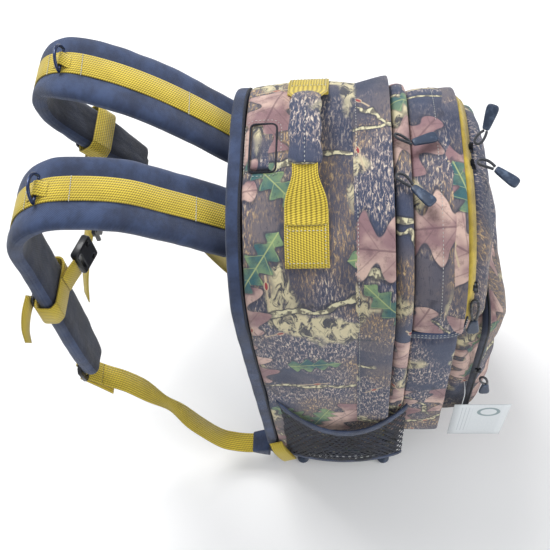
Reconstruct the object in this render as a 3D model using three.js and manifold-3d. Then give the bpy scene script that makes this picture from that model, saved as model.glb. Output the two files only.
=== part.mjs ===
// A hunting day pack, standing on its base: +Z up, +Y towards the wearer's back, +X to the wearer's right.
// The origin is on the underside, in the middle of the main compartment. Lengths are in millimetres.
import * as THREE from "three";
import { mergeVertices } from "three/addons/utils/BufferGeometryUtils.js";
import Module from "manifold-3d";

const wasm = await Module();
wasm.setup();

// ---- driving dimensions ----
const GAP = 0.3; // between pieces that touch
const HALF_WIDTH = 130; // of the gusset
const HEIGHT = 472;
const TOP_RADIUS = 98; // of the arch's shoulders
const BASE_RADIUS = 20;
const FABRIC = 3; // padded fabric wall
const BASE_SHEET = 2.7;

const BACK_FACE_Y = 104; // the face that lies against the wearer
const BACK_PANEL = 14; // its thickness
const MOUTH_Y = -38; // where the main zip runs
const SILL_FRONT_Y = -57; // front of the low wall under the lid
const SILL_TOP_Z = 60;
const LID_BACK_Y = -42.3;
const POCKET_BACK_Y = -58.3; // rear of both front compartments
const GUSSET_FRONT_Y = -104; // front of their gussets
const UPPER_BULGE_Y = -130; // front of the upper front pocket
const LOWER_BULGE_Y = -156; // front of the lower front pocket

const UPPER = { half: 125, low: 350, high: 462, top: 95, base: 12 };
const LOWER = { half: 124, low: 62, high: 344, top: 14, base: 34 };
const UPPER_FRONT = { half: 114, low: 342, high: 456, top: 90, base: 14 };
const LOWER_FRONT = { half: 108, low: 74, high: 338, top: 24, base: 44 };

const STRAP_WIDTH = 72;
const STRAP_THICKNESS = 14;
const WEBBING_WIDTH = 25;
const WEBBING = 1.6; // thickness
const CORD_DIAMETER = 2.6;

// ---- materials ----
const finish = (color, roughness, metalness = 0) =>
  new THREE.MeshStandardMaterial({ color, roughness, metalness });
const camo = finish(0x6f675a, 0.85);
const navy = finish(0x35466b, 0.85);
const mustard = finish(0xcbb32a, 0.75);
const mesh = finish(0x2c3853, 0.9);
const plastic = finish(0x25304a, 0.45);
const sheet = finish(0xd8d8d4, 0.5);
const lining = finish(0x8f8a7c, 0.9);
const metal = finish(0x3a4f7a, 0.35, 0.8);
const cordBlack = finish(0x15161a, 0.8);
const card = finish(0xf4f2ee, 0.7);

const pack = new THREE.Group();

function place(name, geometry, material) {
  const node = new THREE.Mesh(geometry, material);
  node.name = name;
  pack.add(node);
  return node;
}

// ---- solids: joining and cutting ----
function toSolid(geometry) {
  const bare = geometry.clone();
  bare.deleteAttribute("normal");
  bare.deleteAttribute("uv");
  const merged = mergeVertices(bare, 1e-3);
  return new wasm.Manifold(
    new wasm.Mesh({
      numProp: 3,
      vertProperties: new Float32Array(merged.attributes.position.array),
      triVerts: new Uint32Array(merged.index.array),
    }),
  );
}

function toGeometry(solid) {
  const { vertProperties, triVerts } = solid.getMesh();
  const geometry = new THREE.BufferGeometry();
  geometry.setAttribute("position", new THREE.BufferAttribute(vertProperties, 3));
  geometry.setIndex(new THREE.BufferAttribute(triVerts, 1));
  return geometry;
}

function box(low, high) {
  const size = high.map((h, i) => h - low[i]);
  return new THREE.BoxGeometry(...size).translate(...low.map((l, i) => l + size[i] / 2));
}

// ---- outlines ----
// An arched panel seen from the front: x across, y up.
function archShape({ half, low, high, top, base }) {
  const shape = new THREE.Shape();
  shape.moveTo(-half + base, low);
  shape.lineTo(half - base, low);
  shape.absarc(half - base, low + base, base, -Math.PI / 2, 0);
  shape.absarc(half - top, high - top, top, 0, Math.PI / 2);
  shape.absarc(-half + top, high - top, top, Math.PI / 2, Math.PI);
  shape.absarc(-half + base, low + base, base, Math.PI, Math.PI * 1.5);
  return shape;
}

// The same arch, smaller by an even margin all round.
function inset({ half, low, high, top, base }, margin) {
  return {
    half: half - margin,
    low: low + margin,
    high: high - margin,
    top: top - margin,
    base: base - margin,
  };
}

// Extrudes an outline seen from the front between two y planes, with soft edges.
function slab(shape, frontY, backY, edge = 0, curveSegments = 6) {
  return new THREE.ExtrudeGeometry(shape, {
    depth: backY - frontY - 2 * edge,
    bevelEnabled: edge > 0,
    bevelThickness: edge,
    bevelSize: edge,
    bevelOffset: -edge,
    bevelSegments: edge > 5 ? 2 : 1,
    curveSegments,
  })
    .translate(0, 0, edge)
    .rotateX(Math.PI / 2)
    .translate(0, backY, 0);
}

// A hollow pocket with an even wall, closed at the front and open at its back plane.
function tub(arch, frontY, backY, wall, edge) {
  const beyond = 30;
  const outer = toSolid(slab(archShape(arch), frontY, backY + beyond, edge));
  const inside = slab(archShape(inset(arch, wall)), frontY + wall, backY + 2 * beyond, edge);
  const cut = box([-200, backY, -50], [200, backY + 3 * beyond, 600]);
  return outer.subtract(toSolid(inside)).subtract(toSolid(cut));
}

// A band that follows an arch over the top, from one side's foot height to the other's.
function archBand(arch, outward, thickness, footZ, frontY, backY) {
  const outer = inset(arch, -outward - thickness);
  const inner = inset(arch, -outward);
  const shape = new THREE.Shape();
  shape.moveTo(outer.half, footZ);
  shape.absarc(outer.half - outer.top, outer.high - outer.top, outer.top, 0, Math.PI / 2);
  shape.absarc(-outer.half + outer.top, outer.high - outer.top, outer.top, Math.PI / 2, Math.PI);
  shape.lineTo(-outer.half, footZ);
  shape.lineTo(-inner.half, footZ);
  shape.absarc(-inner.half + inner.top, inner.high - inner.top, inner.top, Math.PI, Math.PI / 2, true);
  shape.absarc(inner.half - inner.top, inner.high - inner.top, inner.top, Math.PI / 2, 0, true);
  shape.lineTo(inner.half, footZ);
  return slab(shape, frontY, backY, 0, 8);
}

// ---- straps and webbing ----
// Where a strip lies on its route: side is the direction of its width, out points off its face.
function frameAt(route, t, across) {
  const point = route.getPointAt(t);
  const side = across.clone().normalize();
  const out = new THREE.Vector3().crossVectors(side, route.getTangentAt(t)).normalize();
  const along = new THREE.Vector3().crossVectors(out, side);
  return { point, along, side, out };
}

// A flat strip along a route, between two heights off it.
function strip(route, steps, widthAt, low, high, acrossAt) {
  const positions = [];
  const index = [];
  for (let i = 0; i <= steps; i++) {
    const t = i / steps;
    const { point, side, out } = frameAt(route, t, acrossAt(t));
    const half = widthAt(t) / 2;
    const corners = [
      [-half, low],
      [half, low],
      [half, high],
      [-half, high],
    ];
    for (const [u, v] of corners) {
      const corner = point.clone().addScaledVector(side, u).addScaledVector(out, v);
      positions.push(...corner);
    }
  }
  for (let i = 0; i < steps; i++) {
    for (let k = 0; k < 4; k++) {
      const a = 4 * i + k;
      const b = 4 * i + ((k + 1) % 4);
      index.push(a, a + 4, b, b, a + 4, b + 4);
    }
  }
  const last = 4 * steps;
  index.push(0, 1, 2, 0, 2, 3);
  index.push(last, last + 2, last + 1, last, last + 3, last + 2);
  const geometry = new THREE.BufferGeometry();
  geometry.setAttribute("position", new THREE.Float32BufferAttribute(positions, 3));
  geometry.setIndex(index);
  return geometry;
}

const curve = (points) =>
  new THREE.CatmullRomCurve3(points.map((p) => new THREE.Vector3(...p)), false, "centripetal");
const acrossX = () => new THREE.Vector3(1, 0, 0);
const even = (width) => () => width;

// A round cord along hand-set points.
function cord(points) {
  const section = new THREE.Shape().absarc(0, 0, CORD_DIAMETER / 2, 0, 2 * Math.PI);
  return new THREE.ExtrudeGeometry(section, {
    steps: 12,
    curveSegments: 4,
    extrudePath: curve(points),
    bevelEnabled: false,
  });
}

// Turns geometry made around the origin so that its x, y and z lie along three given directions.
function orient(geometry, x, y, z, origin) {
  const turn = new THREE.Matrix4().makeBasis(x, y, z).setPosition(origin);
  return geometry.applyMatrix4(turn);
}

// ---- main compartment ----
const GUSSET = {
  half: HALF_WIDTH,
  low: BASE_SHEET + GAP,
  high: HEIGHT,
  top: TOP_RADIUS,
  base: BASE_RADIUS,
};
const LID = { half: 128, low: SILL_TOP_Z + 2, high: 468, top: 96, base: 10 };
const GUSSET_BACK_Y = BACK_FACE_Y - BACK_PANEL - GAP;

// A deep bag, open to the front above a low sill.
function mainCompartment() {
  const outer = toSolid(slab(archShape(GUSSET), SILL_FRONT_Y, GUSSET_BACK_Y));
  const inside = toSolid(
    slab(archShape(inset(GUSSET, FABRIC)), SILL_FRONT_Y + FABRIC, GUSSET_BACK_Y - FABRIC),
  );
  const mouth = toSolid(box([-200, SILL_FRONT_Y - 10, SILL_TOP_Z], [200, MOUTH_Y, 600]));
  return toGeometry(outer.subtract(inside).subtract(mouth));
}

place("main_compartment", mainCompartment(), camo);
place("base_panel", box([-110, -52, 0], [110, 86, BASE_SHEET]), navy);
place(
  "back_panel",
  slab(archShape({ ...GUSSET, low: 6, high: HEIGHT + 2, top: TOP_RADIUS + 2 }),
    BACK_FACE_Y - BACK_PANEL, BACK_FACE_Y, 4),
  navy,
);

// Inside, against the back wall: a stiffening sheet, then a hydration sleeve of cloth.
const SLEEVE_Y = GUSSET_BACK_Y - FABRIC;
const stiffener = archShape({ half: 105, low: 12, high: 430, top: 70, base: 14 });
place("frame_sheet", slab(stiffener, SLEEVE_Y - 2.3, SLEEVE_Y - GAP), sheet);
const sleeve = archShape({ half: 112, low: 10, high: 330, top: 8, base: 14 });
place("hydration_sleeve", slab(sleeve, SLEEVE_Y - 12, SLEEVE_Y - 10.5), lining);

// The zip's tape at the mouth, and the flap of cloth that shelters it.
const FLAP_FOOT_Z = 126;
place(
  "main_zip_tape",
  archBand(inset(GUSSET, 4), 0, 4.5, SILL_TOP_Z + 1, LID_BACK_Y + GAP, MOUTH_Y - GAP),
  plastic,
);
place(
  "storm_flap",
  archBand(GUSSET, GAP, 1.5, FLAP_FOOT_Z, MOUTH_Y + 1, MOUTH_Y + 26),
  camo,
);

// ---- lid: the front panel with its two compartments ----
place("front_panel", toGeometry(tub(LID, SILL_FRONT_Y - 1, LID_BACK_Y, FABRIC, 3)), camo);
place(
  "upper_compartment",
  toGeometry(tub(UPPER, GUSSET_FRONT_Y, POCKET_BACK_Y, FABRIC, 4)),
  camo,
);
place(
  "upper_front_pocket",
  toGeometry(tub(UPPER_FRONT, UPPER_BULGE_Y, GUSSET_FRONT_Y - GAP, FABRIC, 10)),
  camo,
);
place(
  "lower_compartment",
  toGeometry(tub(LOWER, GUSSET_FRONT_Y, POCKET_BACK_Y, FABRIC, 4)),
  camo,
);
place(
  "lower_front_pocket",
  toGeometry(tub(LOWER_FRONT, LOWER_BULGE_Y, GUSSET_FRONT_Y - GAP, FABRIC, 16)),
  camo,
);

// ---- side pockets of mesh, open at the top ----
const POCKET = { back: 80, front: -62, depth: 17, low: 26, high: 220, wall: 2 };

function lens(grow) {
  const inner = HALF_WIDTH + GAP;
  const shape = new THREE.Shape();
  const middle = (POCKET.back + POCKET.front) / 2;
  shape.moveTo(inner - 4 * (grow < 0), POCKET.front - grow);
  shape.bezierCurveTo(
    inner + POCKET.depth * 1.35 + grow, POCKET.front + 16 - grow,
    inner + POCKET.depth * 1.35 + grow, POCKET.back - 16 + grow,
    inner - 4 * (grow < 0), POCKET.back + grow,
  );
  shape.lineTo(inner - 4 * (grow < 0), middle);
  return shape;
}

function sidePocket() {
  const upright = (shape, low, high) =>
    toSolid(
      new THREE.ExtrudeGeometry(shape, {
        depth: high - low,
        bevelEnabled: false,
        curveSegments: 14,
      }).translate(0, 0, low),
    );
  const outer = upright(lens(0), POCKET.low, POCKET.high);
  const inside = upright(lens(-POCKET.wall), POCKET.low + POCKET.wall, POCKET.high + 10);
  const rim = new THREE.Shape();
  rim.moveTo(POCKET.back + 8, 218);
  rim.quadraticCurveTo(30, 62, POCKET.front - 8, 200);
  rim.lineTo(POCKET.front - 8, 400);
  rim.lineTo(POCKET.back + 8, 400);
  const cut = new THREE.ExtrudeGeometry(rim, { depth: 60, bevelEnabled: false, curveSegments: 10 });
  const x = new THREE.Vector3(0, 1, 0);
  const y = new THREE.Vector3(0, 0, 1);
  const z = new THREE.Vector3(1, 0, 0);
  orient(cut, x, y, z, new THREE.Vector3(HALF_WIDTH - 20, 0, 0));
  return toGeometry(outer.subtract(inside).subtract(toSolid(cut)));
}

for (const [name, side] of [["left_mesh_pocket", -1], ["right_mesh_pocket", 1]]) {
  place(name, sidePocket(), mesh).scale.x = side;
}

// ---- details on the top and the back ----
// The flap over the hose slot lies on the flat top, behind the handle.
place(
  "hose_port_flap",
  box([-26, 60, HEIGHT + GAP], [28, 84, HEIGHT + GAP + 1.6]),
  camo,
);
const YOKE = { half: 96, low: 395, high: 420 };
place(
  "strap_yoke_webbing",
  box([-YOKE.half, BACK_FACE_Y + GAP, YOKE.low], [YOKE.half, BACK_FACE_Y + GAP + 2, YOKE.high]),
  mustard,
);

// ---- haul handle ----
const HANDLE_Y = 33;
const HANDLE_WIDTH = 38;
const ARCH_CENTRE = { x: HALF_WIDTH - TOP_RADIUS, z: HEIGHT - TOP_RADIUS };

// A point on the arch's shoulder, at an angle down from the flat top, lifted off the cloth.
function shoulder(side, degrees, lift) {
  const angle = THREE.MathUtils.degToRad(degrees);
  return [
    side * (ARCH_CENTRE.x + (TOP_RADIUS + lift) * Math.sin(angle)),
    HANDLE_Y,
    ARCH_CENTRE.z + (TOP_RADIUS + lift) * Math.cos(angle),
  ];
}

for (const [name, side] of [["left_handle_patch", -1], ["right_handle_patch", 1]]) {
  const route = curve([21, 27, 33, 39, 46].map((a) => shoulder(side, a, GAP + 1)));
  const across = () => new THREE.Vector3(0, 1, 0);
  place(name, strip(route, 6, even(HANDLE_WIDTH), -WEBBING / 2, WEBBING / 2, across), mustard);
}

// The loop's webbing narrows from each end to the rolled grip.
const HANDLE_LIFT = 6; // of its sewn ends, so that it can lean either way
const HANDLE_ENDS = { width: 30, degrees: 17 };
const GRIP = { width: 30, half: 6 };
const GRIP_Z = HEIGHT + 30;
const handleRoute = curve([
  shoulder(-1, HANDLE_ENDS.degrees, HANDLE_LIFT),
  [-48, HANDLE_Y, GRIP_Z - 13],
  [-28, HANDLE_Y, GRIP_Z - 3],
  [2, HANDLE_Y, GRIP_Z + 2],
  [30, HANDLE_Y, GRIP_Z - 2],
  [48, HANDLE_Y, GRIP_Z - 13],
  shoulder(1, HANDLE_ENDS.degrees, HANDLE_LIFT),
]);
const HANDLE_START = 0.27; // shares of the handle's length that the grip covers
const HANDLE_END = 0.83;
const handleWidth = (t) => {
  const fromEnd = Math.min(t, 1 - t) * 2;
  return THREE.MathUtils.lerp(HANDLE_ENDS.width, 22, Math.min(fromEnd * 3, 1));
};
place(
  "haul_handle",
  strip(handleRoute, 20, handleWidth, -2, 2, () => new THREE.Vector3(0, 1, 0)),
  mustard,
);

// The sleeve of cloth rolled round the handle's middle, split along its underside.
function gripSleeve() {
  const across = () => new THREE.Vector3(0, 1, 0);
  const covered = [];
  for (let i = 0; i <= 8; i++) {
    covered.push(handleRoute.getPointAt(THREE.MathUtils.lerp(HANDLE_START, HANDLE_END, i / 8)).toArray());
  }
  const outer = toSolid(strip(curve(covered), 9, even(GRIP.width), -GRIP.half, GRIP.half, across));
  const bore = toSolid(strip(handleRoute, 20, even(24), -2.9, 2.9, across));
  return toGeometry(outer.subtract(bore));
}
place("handle_grip", gripSleeve(), camo);

// ---- shoulder straps ----
const STRAPS = {
  left: [
    [-48, 108, 438], [-50, 130, 455], [-54, 155, 475], [-59, 182, 497], [-66, 212, 513],
    [-73, 244, 521], [-77, 268, 509], [-80, 282, 480], [-84, 284, 449], [-88, 283, 412],
    [-92, 282, 372], [-96, 281, 332], [-100, 280, 292], [-104, 279, 252],
  ],
  right: [
    [48, 108, 451], [52, 138, 475], [58, 173, 496], [64, 209, 511], [70, 245, 518],
    [76, 273, 508], [81, 290, 480], [86, 291, 447], [90, 276, 414], [94, 260, 386],
    [98, 244, 358], [102, 228, 330],
  ],
};
const NARROWED = { from: 0.42, to: 0.6, width: 48 }; // shares of the length, past the shoulder
const TIP = { share: 0.16, width: 34 };

function strapWidth(t) {
  const past = THREE.MathUtils.smoothstep(t, NARROWED.from, NARROWED.to);
  const width = THREE.MathUtils.lerp(STRAP_WIDTH, NARROWED.width, past);
  const toTip = (1 - t) / TIP.share;
  if (toTip >= 1) return width;
  return THREE.MathUtils.lerp(TIP.width, width, Math.sin((toTip * Math.PI) / 2));
}

const RING_BAR = 27;
const RING_WIRE = 1.9;

// A D of wire: a straight bar with half a ring standing on it.
function ringD() {
  const radius = RING_BAR / 2;
  const ring = toSolid(new THREE.TorusGeometry(radius, RING_WIRE, 8, 20));
  const upper = toSolid(box([-40, 0, -10], [40, 40, 10]));
  const bar = new THREE.CapsuleGeometry(RING_WIRE, 2 * radius, 2, 8).rotateZ(Math.PI / 2);
  return toGeometry(ring.intersect(upper).add(toSolid(bar)));
}

// A flat frame with a slot either side of its middle bar, x across, y along.
const LOCK = { width: 36, length: 28, thickness: 4 };
const SLOT = { half: 13.4, height: 7, lows: [4, 17] };
function ladderLock() {
  const shape = new THREE.Shape();
  const { width, length, thickness } = LOCK;
  const chamfer = 3;
  shape.moveTo(-width / 2 + chamfer, 0);
  shape.lineTo(width / 2 - chamfer, 0);
  shape.lineTo(width / 2, chamfer);
  shape.lineTo(width / 2, length - chamfer);
  shape.lineTo(width / 2 - chamfer, length);
  shape.lineTo(-width / 2 + chamfer, length);
  shape.lineTo(-width / 2, length - chamfer);
  shape.lineTo(-width / 2, chamfer);
  for (const low of SLOT.lows) {
    const slot = new THREE.Path();
    slot.moveTo(-SLOT.half, low);
    slot.lineTo(-SLOT.half, low + SLOT.height);
    slot.lineTo(SLOT.half, low + SLOT.height);
    slot.lineTo(SLOT.half, low);
    shape.holes.push(slot);
  }
  return new THREE.ExtrudeGeometry(shape, { depth: thickness, bevelEnabled: false });
}

// A loop of webbing round the strap, free to slide along it.
function sternumLoop(frame) {
  const clear = 1.2;
  const halfWidth = NARROWED.width / 2 + 2 * clear;
  const low = -STRAP_THICKNESS - clear;
  const high = WEBBING + GAP + clear;
  const ring = new THREE.Shape();
  const wall = 1.8;
  ring.moveTo(-halfWidth - wall, low - wall);
  ring.lineTo(halfWidth + wall, low - wall);
  ring.lineTo(halfWidth + wall, high + wall);
  ring.lineTo(-halfWidth - wall, high + wall);
  const hole = new THREE.Path();
  hole.moveTo(-halfWidth, low);
  hole.lineTo(-halfWidth, high);
  hole.lineTo(halfWidth, high);
  hole.lineTo(halfWidth, low);
  ring.holes.push(hole);
  const geometry = new THREE.ExtrudeGeometry(ring, { depth: WEBBING_WIDTH, bevelEnabled: false });
  geometry.translate(0, 0, -WEBBING_WIDTH / 2);
  return orient(geometry, frame.side, frame.out, frame.along.clone().negate(), frame.point);
}

const RING_AT = { left: 0.37, right: 0.42 };
const LOOP_AT = { left: 0.7, right: 0.82 };

for (const side of ["left", "right"]) {
  const route = curve(STRAPS[side]);
  place(
    `${side}_shoulder_strap`,
    strip(route, 36, strapWidth, -STRAP_THICKNESS, 0, acrossX),
    navy,
  );
  place(
    `${side}_strap_webbing`,
    strip(route, 36, even(WEBBING_WIDTH), GAP, GAP + WEBBING, acrossX),
    mustard,
  );
  const atRing = frameAt(route, RING_AT[side], acrossX());
  const ringBase = atRing.point.clone().addScaledVector(atRing.out, 2 * GAP + WEBBING + RING_WIRE);
  place(
    `${side}_d_ring`,
    orient(ringD(), atRing.side, atRing.out, atRing.along.clone().negate(), ringBase),
    metal,
  );
  const atTip = frameAt(route, 1, acrossX());
  const lockBase = atTip.point.clone()
    .addScaledVector(atTip.out, 2 * GAP + WEBBING + 1)
    .addScaledVector(atTip.along, -12);
  place(
    `${side}_ladder_lock`,
    orient(ladderLock(), atTip.side, atTip.along, atTip.out, lockBase),
    plastic,
  );
  const atLoop = frameAt(route, LOOP_AT[side], acrossX());
  place(`${side}_sternum_loop`, sternumLoop(atLoop), mustard);
}

// ---- lower webbing, from each ladder lock to the tab at the pack's bottom corner ----
const LOWER_ROUTES = {
  left: [
    [-104, 288, 236], [-104, 270, 214], [-106, 247, 196], [-110, 218, 154],
    [-118, 186, 92], [-121, 164, 52], [-122, 146, 40], [-123, 128, 38],
  ],
  right: [
    [102, 224, 304], [104, 214, 262], [108, 200, 200], [114, 184, 130],
    [119, 168, 76], [121, 156, 50], [122, 142, 40], [123, 128, 38],
  ],
};
for (const side of ["left", "right"]) {
  place(
    `${side}_lower_webbing`,
    strip(curve(LOWER_ROUTES[side]), 24, even(WEBBING_WIDTH), -WEBBING / 2, WEBBING / 2, acrossX),
    mustard,
  );
  const middle = side === "left" ? -122 : 122;
  place(
    `${side}_anchor_tab`,
    box([middle - 14, BACK_FACE_Y + GAP, 24], [middle + 14, 126, 52]),
    navy,
  );
}

// ---- sternum strap: a socket on the left half, a prong on the right half ----
const SOCKET = { width: 32, length: 26, thickness: 8, wall: 1.8, floor: 5 };

function socket() {
  const { width, length, thickness, wall, floor } = SOCKET;
  const shape = new THREE.Shape();
  shape.moveTo(-width / 2, 0);
  shape.lineTo(width / 2, 0);
  shape.lineTo(width / 2, length);
  shape.lineTo(-width / 2, length);
  for (const x of [-width / 2 + 6, width / 2 - 6]) {
    const window = new THREE.Path();
    window.absarc(x, length / 2, 2.6, 0, 2 * Math.PI, true);
    shape.holes.push(window);
  }
  const body = new THREE.ExtrudeGeometry(shape, { depth: thickness, bevelEnabled: false, curveSegments: 4 })
    .translate(0, 0, -thickness / 2);
  const mouth = box(
    [-width / 2 + wall, floor, -thickness / 2 + wall],
    [width / 2 - wall, length + 1, thickness / 2 - wall],
  );
  return toGeometry(toSolid(body).subtract(toSolid(mouth)));
}

const PRONG_THICKNESS = 4; // fits the socket's mouth
function prong() {
  const shape = new THREE.Shape();
  shape.moveTo(-16, 0);
  shape.lineTo(16, 0);
  shape.lineTo(16, 9);
  shape.lineTo(5, 10);
  shape.lineTo(4, 26);
  shape.lineTo(-4, 26);
  shape.lineTo(-5, 10);
  shape.lineTo(-16, 9);
  return new THREE.ExtrudeGeometry(shape, { depth: PRONG_THICKNESS, bevelEnabled: false })
    .translate(0, 0, -PRONG_THICKNESS / 2);
}

const alongTravel = new THREE.Vector3(0, 0, 1);
const leftSternum = curve([[-86, 263.9, 390], [-76, 259.5, 391], [-68, 255, 392]]);
place(
  "left_sternum_webbing",
  strip(leftSternum, 5, even(WEBBING_WIDTH), -WEBBING / 2, WEBBING / 2, () => alongTravel),
  mustard,
);
place(
  "sternum_socket",
  orient(
    socket(),
    new THREE.Vector3(0, 0, 1),
    new THREE.Vector3(0.94, -0.34, 0).normalize(),
    new THREE.Vector3(0.34, 0.94, 0).normalize(),
    new THREE.Vector3(-67.1, 254.6, 393),
  ),
  plastic,
);
const rightSternum = curve([
  [74, 268, 387.6], [72, 273, 372], [64, 276, 350], [54, 278, 325], [44, 279, 303],
]);
place(
  "right_sternum_webbing",
  strip(rightSternum, 8, even(WEBBING_WIDTH), -WEBBING / 2, WEBBING / 2, acrossX),
  mustard,
);
place(
  "sternum_prong",
  orient(
    prong(),
    new THREE.Vector3(-1, 0, 0),
    new THREE.Vector3(0, 0, -1),
    new THREE.Vector3(0, -1, 0),
    new THREE.Vector3(44, 279, 302.4),
  ),
  plastic,
);

// ---- zip sliders, each with a loop of cord and a moulded grip ----
const GRIP_LENGTH = 24;
const SLIDER = { width: 9, length: 12, height: 4 };

// A slider seen from above, x along the zip, with an eye towards +y.
function slider() {
  const { width, length, height } = SLIDER;
  const shape = new THREE.Shape();
  shape.moveTo(-length / 2, -width / 2);
  shape.lineTo(length / 2, -width / 2 + 1.5);
  shape.lineTo(length / 2, width / 2 - 1.5);
  shape.lineTo(-length / 2, width / 2);
  return new THREE.ExtrudeGeometry(shape, { depth: height, bevelEnabled: false });
}

function pullGrip() {
  const profile = [
    [0, 0], [2.6, 0.6], [3.2, 4], [3.6, 14], [4.4, 21], [3.8, GRIP_LENGTH - 0.6], [0, GRIP_LENGTH],
  ];
  return new THREE.LatheGeometry(profile.map((p) => new THREE.Vector2(...p)), 8);
}

// at: the slider's place; zip: along the zip; up: off the cloth; eye: the cord's turn; grip: its two ends.
const PULLS = {
  main_left: {
    at: [-34, -38, 474.3], zip: [1, 0, 0], up: [0, 0, 1],
    eye: [-34, -44.2, 477.4], grip: [[-45, -57, 474.5], [-61, -73, 472.5]],
  },
  main_right: {
    at: [8, -38, 474.3], zip: [-1, 0, 0], up: [0, 0, 1],
    eye: [8, -44.2, 477.4], grip: [[2, -59, 474.5], [10, -81, 472.5]],
  },
  upper_left: {
    at: [-10, -110, 456.4], zip: [1, 0, 0], up: [0, 0, 1],
    eye: [-10, -116.2, 461], grip: [[-19, -130, 461.5], [-32, -149, 455]],
  },
  upper_right: {
    at: [8, -110, 456.4], zip: [-1, 0, 0], up: [0, 0, 1],
    eye: [9, -116.4, 461], grip: [[22, -125, 464], [34, -131, 484]],
  },
  upper_front: {
    at: [-104.9, -110, 406.4], zip: [0.447, 0, 0.894], up: [-0.894, 0, 0.447],
    eye: [-114, -111.5, 399], grip: [[-118.5, -114, 368], [-119.5, -115, 344]],
  },
  lower_front: {
    at: [-108.4, -134, 232], zip: [0, 0, 1], up: [-1, 0, 0],
    eye: [-113.5, -139.5, 224], grip: [[-114, -145, 206], [-114.5, -146, 182]],
  },
};

for (const [name, pull] of Object.entries(PULLS)) {
  const zip = new THREE.Vector3(...pull.zip).normalize();
  const up = new THREE.Vector3(...pull.up).normalize();
  const across = new THREE.Vector3().crossVectors(up, zip);
  place(
    `${name}_slider`,
    orient(slider(), zip, across, up, new THREE.Vector3(...pull.at)),
    plastic,
  );
  const top = new THREE.Vector3(...pull.grip[0]);
  const along = new THREE.Vector3(...pull.grip[1]).sub(top).normalize();
  const aside = new THREE.Vector3().crossVectors(along, up).normalize();
  const face = new THREE.Vector3().crossVectors(aside, along);
  place(`${name}_grip`, orient(pullGrip(), aside, along, face, top), plastic);

  // Out from the grip, round the slider's eye and back: a loop of cord.
  const eye = new THREE.Vector3(...pull.eye);
  const near = top.clone().addScaledVector(along, -4 * GAP);
  const run = near.clone().sub(eye);
  const point = (share, offset, lift) =>
    eye.clone().addScaledVector(run, share).addScaledVector(aside, offset).addScaledVector(up, lift);
  const route = [
    point(1, 1.5, 0), point(0.75, 2.6, 1), point(0.4, 3.4, 1.4), point(0.12, 2.8, 0.6),
    point(0, 0, 0),
    point(0.12, -2.8, 0.6), point(0.4, -3.4, 1.4), point(0.75, -2.6, 1), point(1, -1.5, 0),
  ];
  place(`${name}_cord`, cord(route.map((p) => [p.x, p.y, p.z])), cordBlack);
}

// ---- hang tag beside the lower pocket, on a plastic fastener from the pocket's side ----
const TAG = { x: -121.3, thickness: 0.8, front: -178, back: -116, low: 66, high: 164 };
const TAG_TOP_Z = 200;
const FASTENER = { front: -125, back: -123, thickness: 1.4 };
place(
  "hang_tag",
  box([TAG.x, TAG.front, TAG.low], [TAG.x + TAG.thickness, TAG.back, TAG.high]),
  card,
);

// The fastener leaves the pocket's side level, then turns down to the tag.
function tagFastener() {
  const { front, back, thickness } = FASTENER;
  const sideX = -LOWER_FRONT.half - GAP;
  const level = box([TAG.x - GAP, front, TAG_TOP_Z - thickness], [sideX, back, TAG_TOP_Z]);
  const drop = box(
    [TAG.x - GAP, front, TAG.high + GAP],
    [TAG.x - GAP + thickness, back, TAG_TOP_Z - thickness / 2],
  );
  return toGeometry(toSolid(level).add(toSolid(drop)));
}
place("tag_fastener", tagFastener(), card);

export default pack;
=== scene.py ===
"""The looks of a hunting day pack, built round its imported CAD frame.

Shapes are written in millimetres in the frame's axes (+Z up, +Y towards the wearer's back) and become metres in build().
"""

import math
from collections import namedtuple

import bmesh
import bpy
from mathutils import Matrix, Vector, noise


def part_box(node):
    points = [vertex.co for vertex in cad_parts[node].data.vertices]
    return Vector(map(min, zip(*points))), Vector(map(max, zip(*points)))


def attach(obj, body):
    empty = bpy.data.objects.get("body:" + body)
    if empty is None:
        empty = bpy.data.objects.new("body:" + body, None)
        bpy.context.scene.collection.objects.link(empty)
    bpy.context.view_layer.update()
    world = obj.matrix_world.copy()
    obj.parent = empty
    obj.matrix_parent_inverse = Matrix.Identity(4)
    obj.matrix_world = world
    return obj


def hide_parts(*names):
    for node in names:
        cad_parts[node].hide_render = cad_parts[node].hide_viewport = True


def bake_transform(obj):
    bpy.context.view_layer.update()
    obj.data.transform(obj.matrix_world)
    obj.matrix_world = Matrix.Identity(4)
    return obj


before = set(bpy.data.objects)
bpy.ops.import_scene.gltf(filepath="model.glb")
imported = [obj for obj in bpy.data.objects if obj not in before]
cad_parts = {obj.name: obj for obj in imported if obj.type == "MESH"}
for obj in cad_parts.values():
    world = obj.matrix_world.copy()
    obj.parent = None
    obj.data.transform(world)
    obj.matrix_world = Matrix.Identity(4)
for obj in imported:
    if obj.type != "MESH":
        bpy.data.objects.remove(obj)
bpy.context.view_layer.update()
MM = 0.001
MESH_PITCH = 6.6

# ---- camera, from the photograph's viewpoint ----
AZIMUTH = 280.41
ELEVATION = 59.73
ROLL = -10.06
LENS = 54.64
CAMERA_AT = (-0.463, -0.004, 1.057)

# ---- sizes ----
STRAP_WIDTH = 72
CHEST_WIDTH = 48
STRAP_THICKNESS = 14
WEBBING_WIDTH = 25
WEBBING = 1.6
CORD_DIAMETER = 2.6
HANDLE_Y = 33
HANDLE_WIDTH = 38
GRIP_LENGTH = 24
ZIP_INSET = 6.6  # from a front zip's tape edge to its coil
PUFF = 4.0  # how far padded cloth stands out between its seams


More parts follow.
